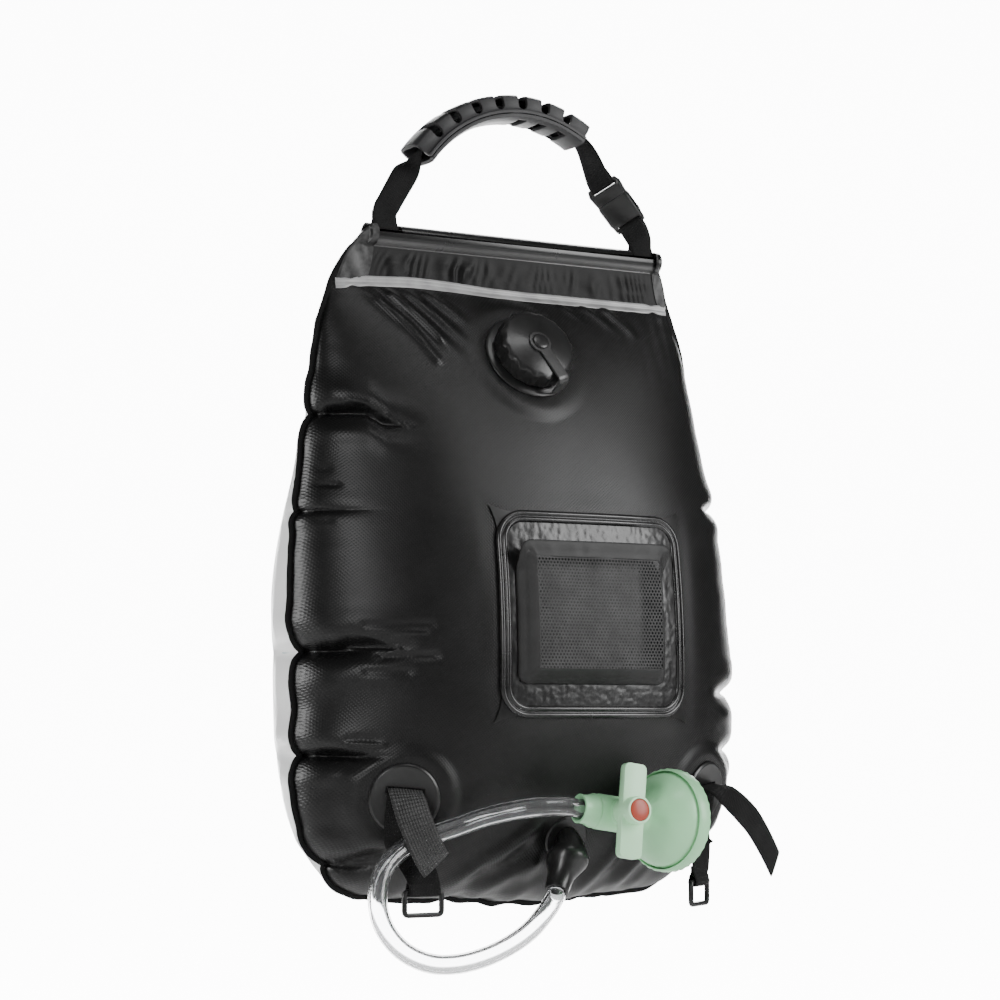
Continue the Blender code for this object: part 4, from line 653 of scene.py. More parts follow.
def edge_shift(side, drop):
    """How far the side seam stands out from its smooth line."""
    shift = 0.001 * wavy(drop * 60, side * 3.1)
    for facing, path, width, depth, pull in creases:
        if facing == side:
            off = drop - path[0][1]
            shift -= pull * math.exp(-1.6 * (math.sqrt((off / width) ** 2 + 0.02) - 0.14))
            shift += 0.25 * pull * bell((abs(off) - 3.2 * width) / (1.8 * width))
    return shift


def seam_shift(across):
    """How far the lower seam hangs under its smooth line."""
    return 0.0055 * wavy(across * 24, 7.3) + 0.0024 * wavy(across * 70, 2.9)


def crease_depth(side, inward, drop):
    """Upper billow hanging over a sharp valley, whose lower side climbs back in a step and a slope."""
    total = 0
    for facing, path, width, depth, pull in creases:
        reach = path[-1][0]
        if facing != side or inward > 1.5 * reach or abs(drop - path[0][1]) > 0.05:
            continue
        low = path[-1][1]
        for (start, first), (end, last) in zip(path, path[1:]):
            if inward < end:
                low = first + (last - first) * max(inward - start, 0) / (end - start)
                break
        off = drop - low
        if off < 0:
            valley = bell(off / width)
        else:
            valley = (bell(off / (0.24 * width)) + bell(off / (1.5 * width))) / 2
        fade = 1 - ease((inward / reach - 0.55) / 0.75)
        billow = bell((abs(off) - 2.6 * width) / (1.4 * width))
        total += depth * fade * (0.25 * billow - valley)
    return total


def ridge_height(across, drop):
    total = 0
    for path, width, height in ridges:
        if abs(drop - path[0][1]) > 0.06 or abs(across - path[0][0]) > 0.07:
            continue
        nearest = 1.0
        for (x0, d0), (x1, d1) in zip(path, path[1:]):
            run, fall = x1 - x0, d1 - d0
            along = ((across - x0) * run + (drop - d0) * fall) / (run ** 2 + fall ** 2)
            along = min(max(along, 0), 1)
            away = math.hypot(across - x0 - run * along, drop - d0 - fall * along)
            nearest = min(nearest, away)
        if nearest < 4 * width:
            total += height * bell(nearest / width)
    return total


def fold_depth(across, drop):
    total = 0
    for (x0, d0), (x1, d1), width, depth in folds:
        run, fall = x1 - x0, d1 - d0
        length = math.hypot(run, fall)
        along = ((across - x0) * run + (drop - d0) * fall) / length ** 2
        if -0.4 < along < 1.4:
            off = ((across - x0) * fall - (drop - d0) * run) / length / width
            fade = ease((along + 0.4) / 0.5) * ease((1.4 - along) / 0.9)
            total += depth * fade * (bell(off) - 0.5 * bell(off - 1.9))
    return total


def puckers(side, inward, drop):
    """Short wrinkles square to the side seam."""
    beat = math.sin(2 * math.pi * drop / 0.017 + 9.0 * wavy(drop * 24, side))
    strength = max(0.25 + 1.1 * wavy(drop * 17, side * 5.7), 0)
    return 0.0012 * beat * strength * math.exp(-inward / 0.011) * ease(inward / 0.003)


def gathers(across, drop):
    """Fine wrinkles that hang from the weld."""
    below = drop - weld_drop
    if below <= 0:
        return 0
    beat = math.sin(2 * math.pi * across / 0.0115 + 4.0 * wavy(across * 25, 1.3))
    strength = max(0.25 + 1.2 * wavy(across * 9, 4.1), 0)
    return 0.0013 * beat * strength * ease(below / 0.008) * math.exp(-below / 0.026)


def soft_waves(across, drop, seed):
    return 0.0016 * noise.noise(Vector((across * 14, drop * 11, seed)))


def web_wrinkles(across, drop):
    """Upright wrinkles in the flat web between the rod and the weld, stronger on the left."""
    span = ease((drop - 0.11) / 0.006) * ease((0.133 - drop) / 0.006)
    left = 0.35 + 0.65 * ease((-0.005 - across) / 0.06)
    lean = 70 * (drop - 0.1215) + 8.0 * wavy(across * 45, 9.2) + 2.0 * wavy(drop * 160, across * 30)
    beat = abs(math.sin(math.pi * across / 0.0095 + lean)) ** 1.6
    strength = max(0.55 + 0.9 * wavy(across * 70, 2.2), 0.1)
    return 0.0036 * span * left * strength * (1 - beat) * ease((0.13 - abs(across)) / 0.01)


def film_offset(front, across, drop, width):
    """Everything that the smooth shape leaves out."""
    side = -1 if across < 0 else 1
    inward = width - abs(across)
    if drop < weld_drop:
        return web_wrinkles(across, drop)
    room = ease(inward / 0.01) * ease((drop - weld_drop) / 0.006) * ease((seam_drop - drop) / 0.01)
    total = soft_waves(across, drop, 1.0 if front else 6.0) + gathers(across, drop)
    total += (crease_depth(side, inward, drop) + puckers(side, inward, drop)) * (1.0 if front else 0.15)
    if front:
        total += fold_depth(across, drop) + ridge_height(across, drop)
        total *= calm(across, drop)
    hem = 0.003 * wavy(across * 55, 3.3) * math.exp(-(seam_drop - drop) / 0.02)
    return room * (total + hem)


# Grids of the films: where the web under the rod starts, rows of the web and the back, row pitches
web_top = 0.1077
web_rows = 9
back_rows = 190
fine_row = 0.0009
plain_row = 0.0021


def film_grid(columns, rows=None):
    """Shares across and drops of a film's grid; without a count its rows close up at the creases."""
    shares = []
    for index in range(columns + 1):
        even = 2 * index / columns - 1
        shares.append(0.55 * even + 0.45 * math.sin(even * math.pi / 2))
    drops = [web_top + (weld_drop - web_top) * index / web_rows for index in range(web_rows)]
    if rows:
        for index in range(rows + 1):
            even = index / rows
            share = 0.62 * even + 0.38 * (0.5 - 0.5 * math.cos(math.pi * even))
            drops.append(weld_drop + (seam_drop - weld_drop) * share)
        return shares, drops
    starts = [path[0][1] for _, path, _, _, _ in creases if path[-1][0] > 0.02]
    place = weld_drop
    while place < seam_drop - fine_row:
        drops.append(place)
        close = any(-0.013 < place - start < 0.014 for start in starts) or place > seam_drop - 0.008
        place += fine_row if close else plain_row
    return shares, drops + [seam_drop]


def film_place(front, share, drop):
    """A point of a film: how far across, how far from the seam plane, and its drop."""
    facing = -1 if share < 0 else 1
    plain = half_width(drop, facing)
    if drop < weld_drop:
        start, bend = (0.137, 0.7) if facing < 0 else (0.129, 1.0)
        widest = half_width(weld_drop, facing)
        plain = start + (widest - start) * ((drop - 0.1076) / (weld_drop - 0.1076)) ** bend
    shift = (0.0022 + edge_shift(facing, drop)) * ease((drop - 0.1465) / 0.03)
    shift *= ease((abs(share) - 0.72) / 0.28) if front else ease((abs(share) - 0.975) / 0.025)
    across = share * plain + facing * shift
    smooth = front_depth(share * plain, drop) if front else back_swell(share * plain, drop)
    depth = max(smooth + film_offset(front, across, drop, plain + shift), 0)
    return across, depth, drop + seam_shift(across) * ease((drop - 0.4965) / 0.1)


def film_panel(name, front, finish, columns):
    """One film of the bag with its creases, and the flat seam round it."""
    side = -1 if front else 1
    shares, drops = film_grid(columns, None if front else back_rows)
    size, rows = len(shares), len(drops)
    points = []
    for drop in drops:
        for share in shares:
            across, depth, fall = film_place(front, share, drop)
            points.append(Vector((across, side * (clearance / 2 + film + depth), -fall)))
    edge = [row * size for row in range(rows)]
    edge += [(rows - 1) * size + column for column in range(1, size)]
    edge += [row * size + size - 1 for row in range(rows - 2, -1, -1)]
    order = (0, 3, 2, 1) if front else (1, 2, 3, 0)
    faces, border = (
        [tuple(quad[at] for at in order) for quad in quads(*grid)] for grid in ((rows, size), (3, len(edge))))
    lines = [points[at] for at in edge] + seam_rim(points, edge, side)
    piece(name + "_seam", lines, border, "seam_film" if front else finish, "bag")
    if front:
        web = web_rows * (size - 1)
        piece("front_web", points[:(web_rows + 1) * size], faces[:web], "web_film", "bag")
        faces = faces[web:]
    return piece(name, points, faces, finish, "bag")


def seam_rim(points, edge, side):
    """The outer edge of the flat seam: its front line, then its line on the seam plane."""
    outer, middle = [], []
    for index, at in enumerate(edge):
        before, after = points[edge[max(index - 2, 0)]], points[edge[min(index + 2, len(edge) - 1)]]
        along = after - before
        outward = Vector((along.z, 0, -along.x))
        if outward.length < 1e-9:
            outward = Vector((points[at].x, 0, 0))
        outward = outward.normalized()
        spread = Vector((points[at].x, 0, points[at].z + 0.36))
        if outward.dot(spread) < 0:
            outward = -outward
        line = points[at] + outward * (0.0036 + 0.0006 * wavy(index * 0.25, 5.5))
        outer.append(Vector((line.x, side * (clearance / 2 + 0.7 * film), line.z)))
        middle.append(Vector((line.x, side * clearance / 2, line.z)))
    return outer + middle


# Hose

shower_depth = 0.0778708
hose_route = (
    (-0.035, 0.0255, -0.0035), (-0.0502, 0.0285, -0.0162), (-0.0695, 0.0305, -0.0265),
    (-0.0908, 0.0305, -0.034), (-0.1123, 0.0285, -0.0377), (-0.1322, 0.0255, -0.036),
    (-0.1507, 0.0215, -0.0265), (-0.1623, 0.0165, -0.0105), (-0.1646, 0.0115, 0.0087),
    (-0.1571, 0.006, 0.0276), (-0.1409, 0.001, 0.041), (-0.1197, -0.001, 0.0496),
    (-0.0991, 0.0045, 0.0564), (-0.0802, 0.0175, 0.0643), (-0.0632, 0.0325, 0.0694),
    (-0.0474, 0.0435, 0.0716),
)
hose_start = Vector((-0.019938, -0.092224, -0.587477))
outlet_axis = Vector((-0.42152, -0.42152, -0.802896))
hose_finish = Vector((-0.015246, -0.126371, -0.527143))
flow_axis = Vector((0.985, 0.0, -0.15)).normalized()


def spline(before, here, there, after, t):
    return (
        here * 2 + (there - before) * t + (before * 2 - here * 5 + there * 4 - after) * t ** 2
        + (here * 3 - before - there * 3 + after) * t ** 3) / 2


def smooth_points(points, spacing):
    """Even points on a smooth curve from the second of some points to the last but one."""
    fine = []
    for index in range(1, len(points) - 2):
        fine += [spline(*points[index - 1:index + 3], step / 24) for step in range(24)]
    fine.append(points[-2])
    length = sum((b - a).length for a, b in zip(fine, fine[1:]))
    count = max(int(round(length / spacing)), 2)
    evened, walked, target = [fine[0]], 0, length / count
    for first, second in zip(fine, fine[1:]):
        step = (second - first).length
        while walked + step >= target and len(evened) < count:
            evened.append(first + (second - first) * ((target - walked) / step))
            target += length / count
        walked += step
    evened.append(fine[-1])
    return evened


def tube(path, outer, inner, steps):
    """Points and faces of a hollow tube along a path: its outer wall, then back through its bore."""
    stations = []
    normal = Vector((0, 1, 0))
    for index, point in enumerate(path):
        along = (path[min(index + 1, len(path) - 1)] - path[max(index - 1, 0)]).normalized()
        normal = (normal - along * normal.dot(along)).normalized()
        stations.append((point, normal, along.cross(normal)))
    angles = [2 * math.pi * step / steps for step in range(steps)]
    points = []
    for radius, line in ((outer, stations), (inner, stations[::-1])):
        for point, normal, across in line:
            points += [point + (normal * math.cos(angle) + across * math.sin(angle)) * radius
                       for angle in angles]
    return points, quads(2 * len(path), steps, True, True)


def hose():
    line = [hose_start, hose_start + outlet_axis * hose_radius / 2]
    line += [Vector((across, -(shower_depth + ahead), rise - seam_drop))
             for across, ahead, rise in hose_route]
    line += [hose_finish - flow_axis * 2 * hose_radius, hose_finish]
    path = [hose_start] + smooth_points(line, 0.004) + [hose_finish]
    points, faces = tube(path, hose_radius, hose_bore, 28)
    item = piece("clear_hose", points, faces, "clear_hose", "bag", ["hose"])


# Frames on the bag and the handle

def frame_of(origin, axis, across):
    z_axis = Vector(axis).normalized()
    x_axis = Vector(across)
    x_axis = (x_axis - z_axis * x_axis.dot(z_axis)).normalized()
    made = Matrix((x_axis, z_axis.cross(x_axis), z_axis)).transposed().to_4x4()
    made.translation = Vector(origin)
    return made


def film_face(across, drop, lift=0):
    """A point on the front film's outer face, lifted off it along its normal."""
    slope_across, slope_drop = slopes(front_depth, across, drop)
    outward = Vector((-slope_across, -1, slope_drop)).normalized()
    base = Vector((across, -(clearance / 2 + film + front_depth(across, drop)), -drop))
    return base + outward * lift


def seat_frame(spot):
    outward = Vector((-spot["slope_across"], -1, spot["slope_drop"]))
    return frame_of(film_face(spot["across"], spot["drop"]), outward, Vector((1, 0, 0)))


def arch_frame(angle):
    """A frame on the grip's arch: X forwards, Y towards its centre, Z along it."""
    radial = Vector((math.sin(angle), 0, math.cos(angle)))
    along = Vector((math.cos(angle), 0, -math.sin(angle)))
    centre = Vector((0, 0, grip_half_thickness - grip_radius))
    return frame_of(centre + radial * grip_radius, along, Vector((0, -1, 0)))


def buckle_frame():
    along = Vector((math.cos(buckle_tilt), 0, -math.sin(buckle_tilt)))
    flat = Vector((math.sin(buckle_tilt), 0, math.cos(buckle_tilt)))
    wide = flat * math.cos(buckle_twist) + Vector((0, -1, 0)) * math.sin(buckle_twist)
    return frame_of(Vector((buckle_place, 0, -buckle_drop)), along, wide)


def rounded_rectangle(width, height, radius, corner_steps, side_steps=1):
    points = []
    for across, along, start in ((1, -1, -90), (1, 1, 0), (-1, 1, 90), (-1, -1, 180)):
        centre_x = across * (width / 2 - radius)
        centre_y = along * (height / 2 - radius)
        for step in range(corner_steps + 1):
            angle = math.radians(start + 90 * step / corner_steps)
            points.append((centre_x + radius * math.cos(angle), centre_y + radius * math.sin(angle)))
    divided = []
    for index, point in enumerate(points):
        after = points[(index + 1) % len(points)]
        steps = side_steps if index % (corner_steps + 1) == corner_steps else 1
        for step in range(steps):
            share = step / steps
            divided.append(tuple(near + (far - near) * share for near, far in zip(point, after)))
    return divided


def curved_path(first, first_pull, last, last_pull, steps):
    points = []
    for step in range(steps + 1):
        near, leave, arrive = hermite(step / steps)
        points.append(first * near + last * (1 - near) + first_pull * leave + last_pull * arrive)
    return points


def turn_widths(points, first_wide, last_wide):
    last = len(points) - 1
    return [(point, first_wide * (1 - index / last) + last_wide * (index / last))
            for index, point in enumerate(points)]


# Hard pieces with rounded edges

def refined(name, finish, rounding):
    """A node's shape with its sharp edges rounded."""
    mesh = nodes[name].data.copy()
    mesh.name = "fine_" + name
    soften(mesh, rounding)
    item = dress(add_object("fine_" + name, mesh), finish)
    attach(item, nodes[name]["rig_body"])
    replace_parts(item, name)


# Straps

def finer(stations, spacing, closed=False):
    """More stations on a smooth curve through the given ones."""
    count = len(stations)
    made = []
    for index in range(count if closed else count - 1):
        picks = [stations[at % count if closed else min(max(at, 0), count - 1)]
                 for at in range(index - 1, index + 3)]
        steps = max(int((picks[2][0] - picks[1][0]).length / spacing), 1)
        for step in range(steps):
            made.append(tuple(spline(*line, step / steps) for line in zip(*picks)))
    if not closed:
        made.append(stations[-1])
    return made


def strap(name, stations, width, body, node, closed=False, finish="black_webbing"):
    """Woven strap with soft edges through (point, width direction) stations."""
    upper = [(share, 1 - 0.45 * abs(share) ** 8) for share in (-1, -0.75, -0.4, 0, 0.4, 0.75, 1)]
    outline = upper + [(share, -up) for share, up in reversed(upper)]
    fine = finer(stations, 0.0012, closed)
    size, count = len(outline), len(fine)
    points, uvs = [], []
    walked = 0
    for index, (point, wide) in enumerate(fine):
        before = fine[(index - 1) % count if closed else max(index - 1, 0)][0]
        after = fine[(index + 1) % count if closed else min(index + 1, count - 1)][0]
        along = (after - before).normalized()
        wide = (wide - along * wide.dot(along)).normalized()
        deep = along.cross(wide)
        if index:
            walked += (point - fine[index - 1][0]).length
        for share, up in outline:
            points.append(point + wide * (width / 2 * share) + deep * (webbing_thickness / 2 * up))
            uvs.append((share * width / 2, walked))
    faces = quads(count, size, True, closed)
    if not closed:
        faces += [tuple(range(size))[::-1], tuple(range((count - 1) * size, count * size))]
    return piece(name, points, faces, finish, body, [node], uvs)


def rod_loop_points(place, above):
    """A strap's middle round the rod, from its back layer to its front one."""
    points = [(half_layer, above), (half_layer, rod_turn * 1.9), (rod_turn * 0.45, rod_turn * 1.3)]
    for step in range(9):
        angle = math.radians(42 + 276 * step / 8)
        points.append((rod_turn * math.sin(angle), rod_turn * math.cos(angle)))
    points += [(-across, along) for across, along in reversed(points[:3])]
    return [Vector((place, across, along - rod_drop)) for across, along in points]


def bar_loop(frame, place, turn):
    """A strap's middle round one of the buckle's bars."""
    angles = [math.radians(90 - 180 * step / 6) for step in range(7)]
    return [frame @ Vector((0, bar_turn * math.sin(angle), place - turn * bar_turn * math.cos(angle)))
            for angle in angles]


def handle_strap():
    across, forwards = Vector((1, 0, 0)), Vector((0, -1, 0))
    loop = rod_loop_points(-strap_place, rod_turn * 1.9 + sewn_length)
    stations = [(point, across) for point in loop]
    start = arch_frame(-grip_left_angle)
    straight = start.translation - loop[-1]
    rise = straight.length
    run = curved_path(
        loop[-1], straight * 0.9 + Vector((0, 0, rise * 0.08)), start.translation,
        start.col[2].to_3d() * rise * 0.3 + straight * 0.6, 6)
    shares = (0.0, 0.05, 0.15, 0.34, 0.66, 1.0)
    stations += [(point, across * (1 - share) + forwards * share) for point, share in zip(run[1:], shares)]
    whole = grip_left_angle + grip_right_angle
    for index in range(1, 13):
        stations.append((arch_frame(-grip_left_angle + whole * index / 12).translation, forwards))
    frame = buckle_frame()
    wide, pull = frame.col[0].to_3d(), frame.col[2].to_3d()
    bar_place = -(male_length - buckle_bar_half)
    bar = bar_loop(frame, bar_place, -1)
    end = arch_frame(grip_right_angle)
    reach = (bar[0] - end.translation).length
    run = curved_path(end.translation, end.col[2].to_3d() * reach, bar[0], pull * reach * 0.6, 5)
    stations += turn_widths(run[1:-1], forwards * 0.85 + wide * 0.15, forwards * 0.1 + wide * 0.9)
    stations += [(point, wide) for point in bar]
    stations.append((frame @ Vector((0, -bar_turn * 1.25, bar_place - 3 * bar_turn)), wide))
    strap("handle_strap", stations, handle_webbing_width, "handle", "handle_webbing")


def tab_strap():
    across = Vector((1, 0, 0))
    frame = buckle_frame()
    wide, pull = frame.col[0].to_3d(), frame.col[2].to_3d()
    loop = rod_loop_points(strap_place, rod_turn * 1.9)[1:-1]
    bar = bar_loop(frame, socket_end - buckle_bar_half, 1)
    reach = (bar[-1] - loop[0]).length
    up = Vector((0, 0, reach))
    rising = curved_path(loop[-1], up, bar[0], -pull * reach, 4)
    falling = curved_path(bar[-1], pull * reach, loop[0], -up, 4)
    stations = [(point, across) for point in loop]
    stations += turn_widths(rising[1:-1], across * 0.8 + wide * 0.2, across * 0.2 + wide * 0.8)
    stations += [(point, wide) for point in bar]
    stations += turn_widths(falling[1:-1], across * 0.2 + wide * 0.8, across * 0.8 + wide * 0.2)
    strap("tab_strap", stations, handle_webbing_width, "handle", "webbing_tab", closed=True)


def anchor_frame(side):
    return seat_frame(seats[2 if side < 0 else 3])


def ring_bar_frame(side):
    place = Vector((side * ring_place, -(seats[2]["depth"] + ring_gap), -ring_drop))
    return Matrix.Translation(place) @ Matrix.Rotation(ring_right_turn if side > 0 else 0, 4, "Z")


def ring_strap(name, side, node):
    """Strap from the slot down over the patch and round the ring's upper bar."""
    frame, bar = anchor_frame(side), ring_bar_frame(side)
    across, patch_wide = bar.col[0].to_3d(), frame.col[0].to_3d()
    low = anchor_slot_rise - half_layer
    surface = 2 * clearance + anchor_thickness + webbing_thickness / 2
    start, rise, turn, edge = (frame @ Vector((0, up, out)) for up, out in (
        (low, 2 * clearance), (low, surface * 0.62), (low - webbing_thickness * 0.6, surface),
        (-anchor_radius, surface + clearance)))
    radius = ring_bar * 0.62 + clearance + webbing_thickness / 2
    front = bar @ Vector((0, -half_layer, radius * 2.1))
    pull = (edge - turn).normalized() * anchor_radius
    run = curved_path(edge, pull * 0.5, front, Vector((0, 0, -anchor_radius * 0.6)), 4)
    stations = [(point, patch_wide) for point in (start, rise, turn)]
    stations += turn_widths(run, patch_wide, across)
    round_bar = [(-radius * 0.7, radius * 1.25)]
    for step in range(7):
        angle = math.radians(-50 - 260 * step / 6)
        round_bar.append((radius * math.sin(angle), radius * math.cos(angle)))
    round_bar += [(radius * 0.7, radius * 1.25), (half_layer, radius * 2.1), (half_layer, radius * 3.6)]
    stations += [(bar @ Vector((0, out, up)), across) for out, up in round_bar]
    strap(name, stations, strap_width, "bag", node)


def hose_strap(name, side, route, last_wide, node):
    """Strap out of the upper half of the slot, along points over its patch."""
    frame = anchor_frame(side)
    across = frame.col[0].to_3d()
    points = [frame @ Vector(point) for point in ((0, anchor_slot_rise + half_layer, 2 * clearance), *route)]
    last = frame.to_3x3() @ Vector(last_wide)
    stations = [(point, across) for point in points[:2]] + turn_widths(points[2:], across, last)
    strap(name, stations, strap_width, "bag", node, finish="ribbed_webbing" if side < 0 else "black_webbing")


# Pocket

def pocket_face(across, along, lift):
    return film_face(pocket_place + across, pocket_drop - along, lift + pocket_lift)


def pocket_ripple(x, y):
    """Small waves of the clear sheet, calm at its welded edge and behind the net."""
    room = ease((pocket_width / 2 - abs(x)) / 0.01) * ease((pocket_height / 2 - abs(y)) / 0.01)
    inside = ease((tape_width / 2 - 0.008 - abs(x)) / 0.01) * ease((tape_height / 2 - 0.008 - abs(y)) / 0.01)
    fine = noise.noise(Vector((x * 190, y * 190, 2.2))) + 0.7 * noise.noise(Vector((x * 420, y * 420, 5.1)))
    return room * (0.00035 + 0.00026 * fine * (1 - 0.6 * inside))


def round_corner(u, v):
    """A place on a square moved onto one with round corners; places run from -1 to 1."""
    x, y = u * pocket_width / 2, v * pocket_height / 2
    past_x = (abs(x) - (pocket_width / 2 - pocket_corner)) / pocket_corner
    past_y = (abs(y) - (pocket_height / 2 - pocket_corner)) / pocket_corner
    if past_x > 0 and past_y > 0:
        round_x = past_x * math.sqrt(1 - past_y ** 2 / 2)
        round_y = past_y * math.sqrt(1 - past_x ** 2 / 2)
        x += math.copysign((round_x - past_x) * pocket_corner, x)
        y += math.copysign((round_y - past_y) * pocket_corner, y)
    return x, y


def vinyl_sheet():
    """The clear sheet with its speckle of small waves."""
    columns, rows = 150, 140
    points = []
    for row in range(rows + 1):
        for column in range(columns + 1):
            x, y = round_corner(2 * column / columns - 1, 2 * row / rows - 1)
            points.append(pocket_face(x * 0.97, y * 0.97, clearance + pocket_film + pocket_ripple(x, y)))
    piece("vinyl_sheet", points, quads(rows + 1, columns + 1), "clear_vinyl", "bag", ["pocket_sheet"])


def vinyl_bead():
    half = bead_half_width
    section = [(-half, -pocket_film)]
    for index in range(17):
        share = -1 + index / 8
        section.append((half * share, bead_height * (0.15 + 0.85 * abs(math.sin(math.pi * share)) ** 0.8)))
    section.append((half, -pocket_film))
    rings = []
    for across, lift in section:
        inset = half - across
        outline = rounded_rectangle(
            pocket_width - 2 * inset, pocket_height - 2 * inset, max(pocket_corner - inset, 0.004), 10, 40)
        rings.append([pocket_face(x, y, sheet_base + lift) for x, y in outline])
    ring_piece("vinyl_bead", rings, "vinyl_weld", "bag", ["pocket_frame"])


def ring_piece(name, rings, finish, body, standing_for, closed=True):
    faces = quads(len(rings), len(rings[0]), True, closed)
    return piece(name, [point for ring in rings for point in ring], faces, finish, body, standing_for)


def tape_lift(y):
    return pocket_depth * min(max((y - tape_height * 0.3) / (tape_height * 0.15), 0), 1)


def binding():
    """Folded tape round the net: sides and bottom slope to the sheet, the top edge is free."""
    section = (
        (0.0, 0.0), (0.0, 0.7), (0.04, 1.0), (0.14, 1.08), (0.3, 1.0), (0.42, 0.86), (0.48, 1.02),
        (0.6, 1.08), (0.8, 1.1), (0.93, 1.05), (1.0, 0.7), (1.0, 0.0),
    )
    rings = []
    for edge, level in section:
        inset = edge * tape_band
        radius = max(tape_corner - inset / 2, tape_corner / 4)
        ring = []
        outline = rounded_rectangle(tape_width - 2 * inset, tape_height - 2 * inset, radius, 6, 40)
        for index, (x, y) in enumerate(outline):
            raised = tape_lift(y) + (pocket_depth - tape_lift(y)) * edge
            ripple = 0.002 * edge * (1 - edge) * wavy(index * 0.45, 8.8)
            lift = sheet_base + raised + level * tape_thickness + ripple
            ring.append(pocket_face(x + tape_offset, y, lift))
        rings.append(ring)
    ring_piece("binding", rings, "pocket_tape", "bag", ["pocket_tape"])


def net():
    """Fine net with six-sided gaps inside the binding."""
    width, height = (size - 2 * tape_band + 0.001 for size in (tape_width, tape_height))
    pitch, thread, depth = 0.0027, 0.001, 0.0004
    side, row_pitch = pitch / math.sqrt(3), pitch * math.sqrt(3) / 2
    gap = side - thread / math.sqrt(3)
    turns = [(math.cos(math.radians(30 + 60 * step)), math.sin(math.radians(30 + 60 * step)))
             for step in range(6)]
    points, faces, spots = [], [], {}

    def spot(x, y):
        """The number of a corner that neighbouring threads share."""
        key = (round(x / pitch * 60), round(y / pitch * 60))
        if key not in spots:
            spots[key] = len(points)
            points.append((x, y))
        return spots[key]

    for row in range(int(height / row_pitch) + 1):
        for column in range(int(width / pitch) + 1):
            x = -width / 2 + (column + (0.75 if row % 2 else 0.25)) * pitch
            y = -height / 2 + row_pitch * (row + 0.3)
            outer = [spot(x + side * across, y + side * up) for across, up in turns]
            first = len(points)
            points += [(x + gap * across, y + gap * up) for across, up in turns]
            for step in range(6):
                after = (step + 1) % 6
                faces.append((outer[step], outer[after], first + after, first + step))
    places = []
    for x, y in points:
        x = min(max(x, -width / 2), width / 2)
        y = min(max(y, -height / 2), height / 2)
        slack = 0.003 * math.cos(math.pi * x / width) * math.cos(math.pi * y / height)
        uneven = 0.0009 * noise.noise(Vector((x * 40, y * 40, 3)))
        lift = sheet_base + pocket_depth + tape_thickness * 0.6 - slack + uneven
        places.append(pocket_face(x + tape_offset, y, lift))
    item = dress(add_object("net", make_mesh("net", places, faces)), "net_thread")
    item.modifiers.new("thread", "SOLIDIFY").thickness = depth
    item.data = applied(item)
    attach(item, "bag")
    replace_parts(item, "pocket_mesh")


def weld_band():
    """The light double line welded across the bag's top."""
    left, right = (half_width(weld_drop + 0.001, side) - 0.001 for side in (-1, 1))
    profile = (
        (-0.0044, 0), (-0.004, 0.0006), (-0.0016, 0.0009), (-0.0004, 0.0003), (0.001, 0.0008),
        (0.0036, 0.0006), (0.004, 0),
    )
    points = []
    steps = 200
    for index in range(steps + 1):
        share = index / steps
        across = -left + (left + right) * share
        pinch = sum(bell((share - end) / 0.012) for end in (0.045, 0.955))
        wave = 0.0006 * wavy(across * 30, 6.6) * (1 + 2 * pinch)
        wave += 0.003 * ease((-0.128 - across) / 0.028) - 0.0036 * bell((across + 0.085) / 0.06)
        for low, lift in profile:
            drop = weld_drop + 0.0005 + low * (1 - 0.35 * pinch) + wave
            face = front_swell(across, drop)
            points.append(Vector((across, -(clearance / 2 + film + face + 0.0005 + lift), -drop)))
    piece("weld_band", points, quads(steps + 1, len(profile)), "weld_grey", "bag")


def water_body():
    """The water behind the films, drawn in from them and their creases."""
    shares, drops = film_grid(60, 90)
    rings = []
    for drop in drops:
        if not weld_drop + 0.01 < drop < seam_drop - 0.01:
            continue
        ring = []
        for front, line in ((True, shares), (False, shares[::-1])):
            for share in line:
                across, depth, fall = film_place(front, share * 0.97, drop)
                nearest = min(film_place(front, share * 0.97, drop + step)[1] for step in (-0.004, 0.004))
                depth = max(min(depth, nearest) - 0.005, 0)
                ring.append(Vector((across, -depth if front else depth, -fall)))
        rings.append(ring)
    ring_piece("water_body", rings, "water", "bag", ["water_fill"], closed=False)


# Edges of the clear corners, as places across and drops from the weld up to the rod
shoulder_outer = (
    (0.1565, 0.135), (0.153, 0.1265), (0.1494, 0.118), (0.145, 0.1108), (0.14, 0.1045),
    (0.1345, 0.0985), (0.1295, 0.0938), (0.1262, 0.0912),
)
shoulder_inner = (
    (0.13, 0.133), (0.1275, 0.1245), (0.126, 0.117), (0.125, 0.1105), (0.1245, 0.105),
    (0.1242, 0.1), (0.1242, 0.0955), (0.1245, 0.091),
)


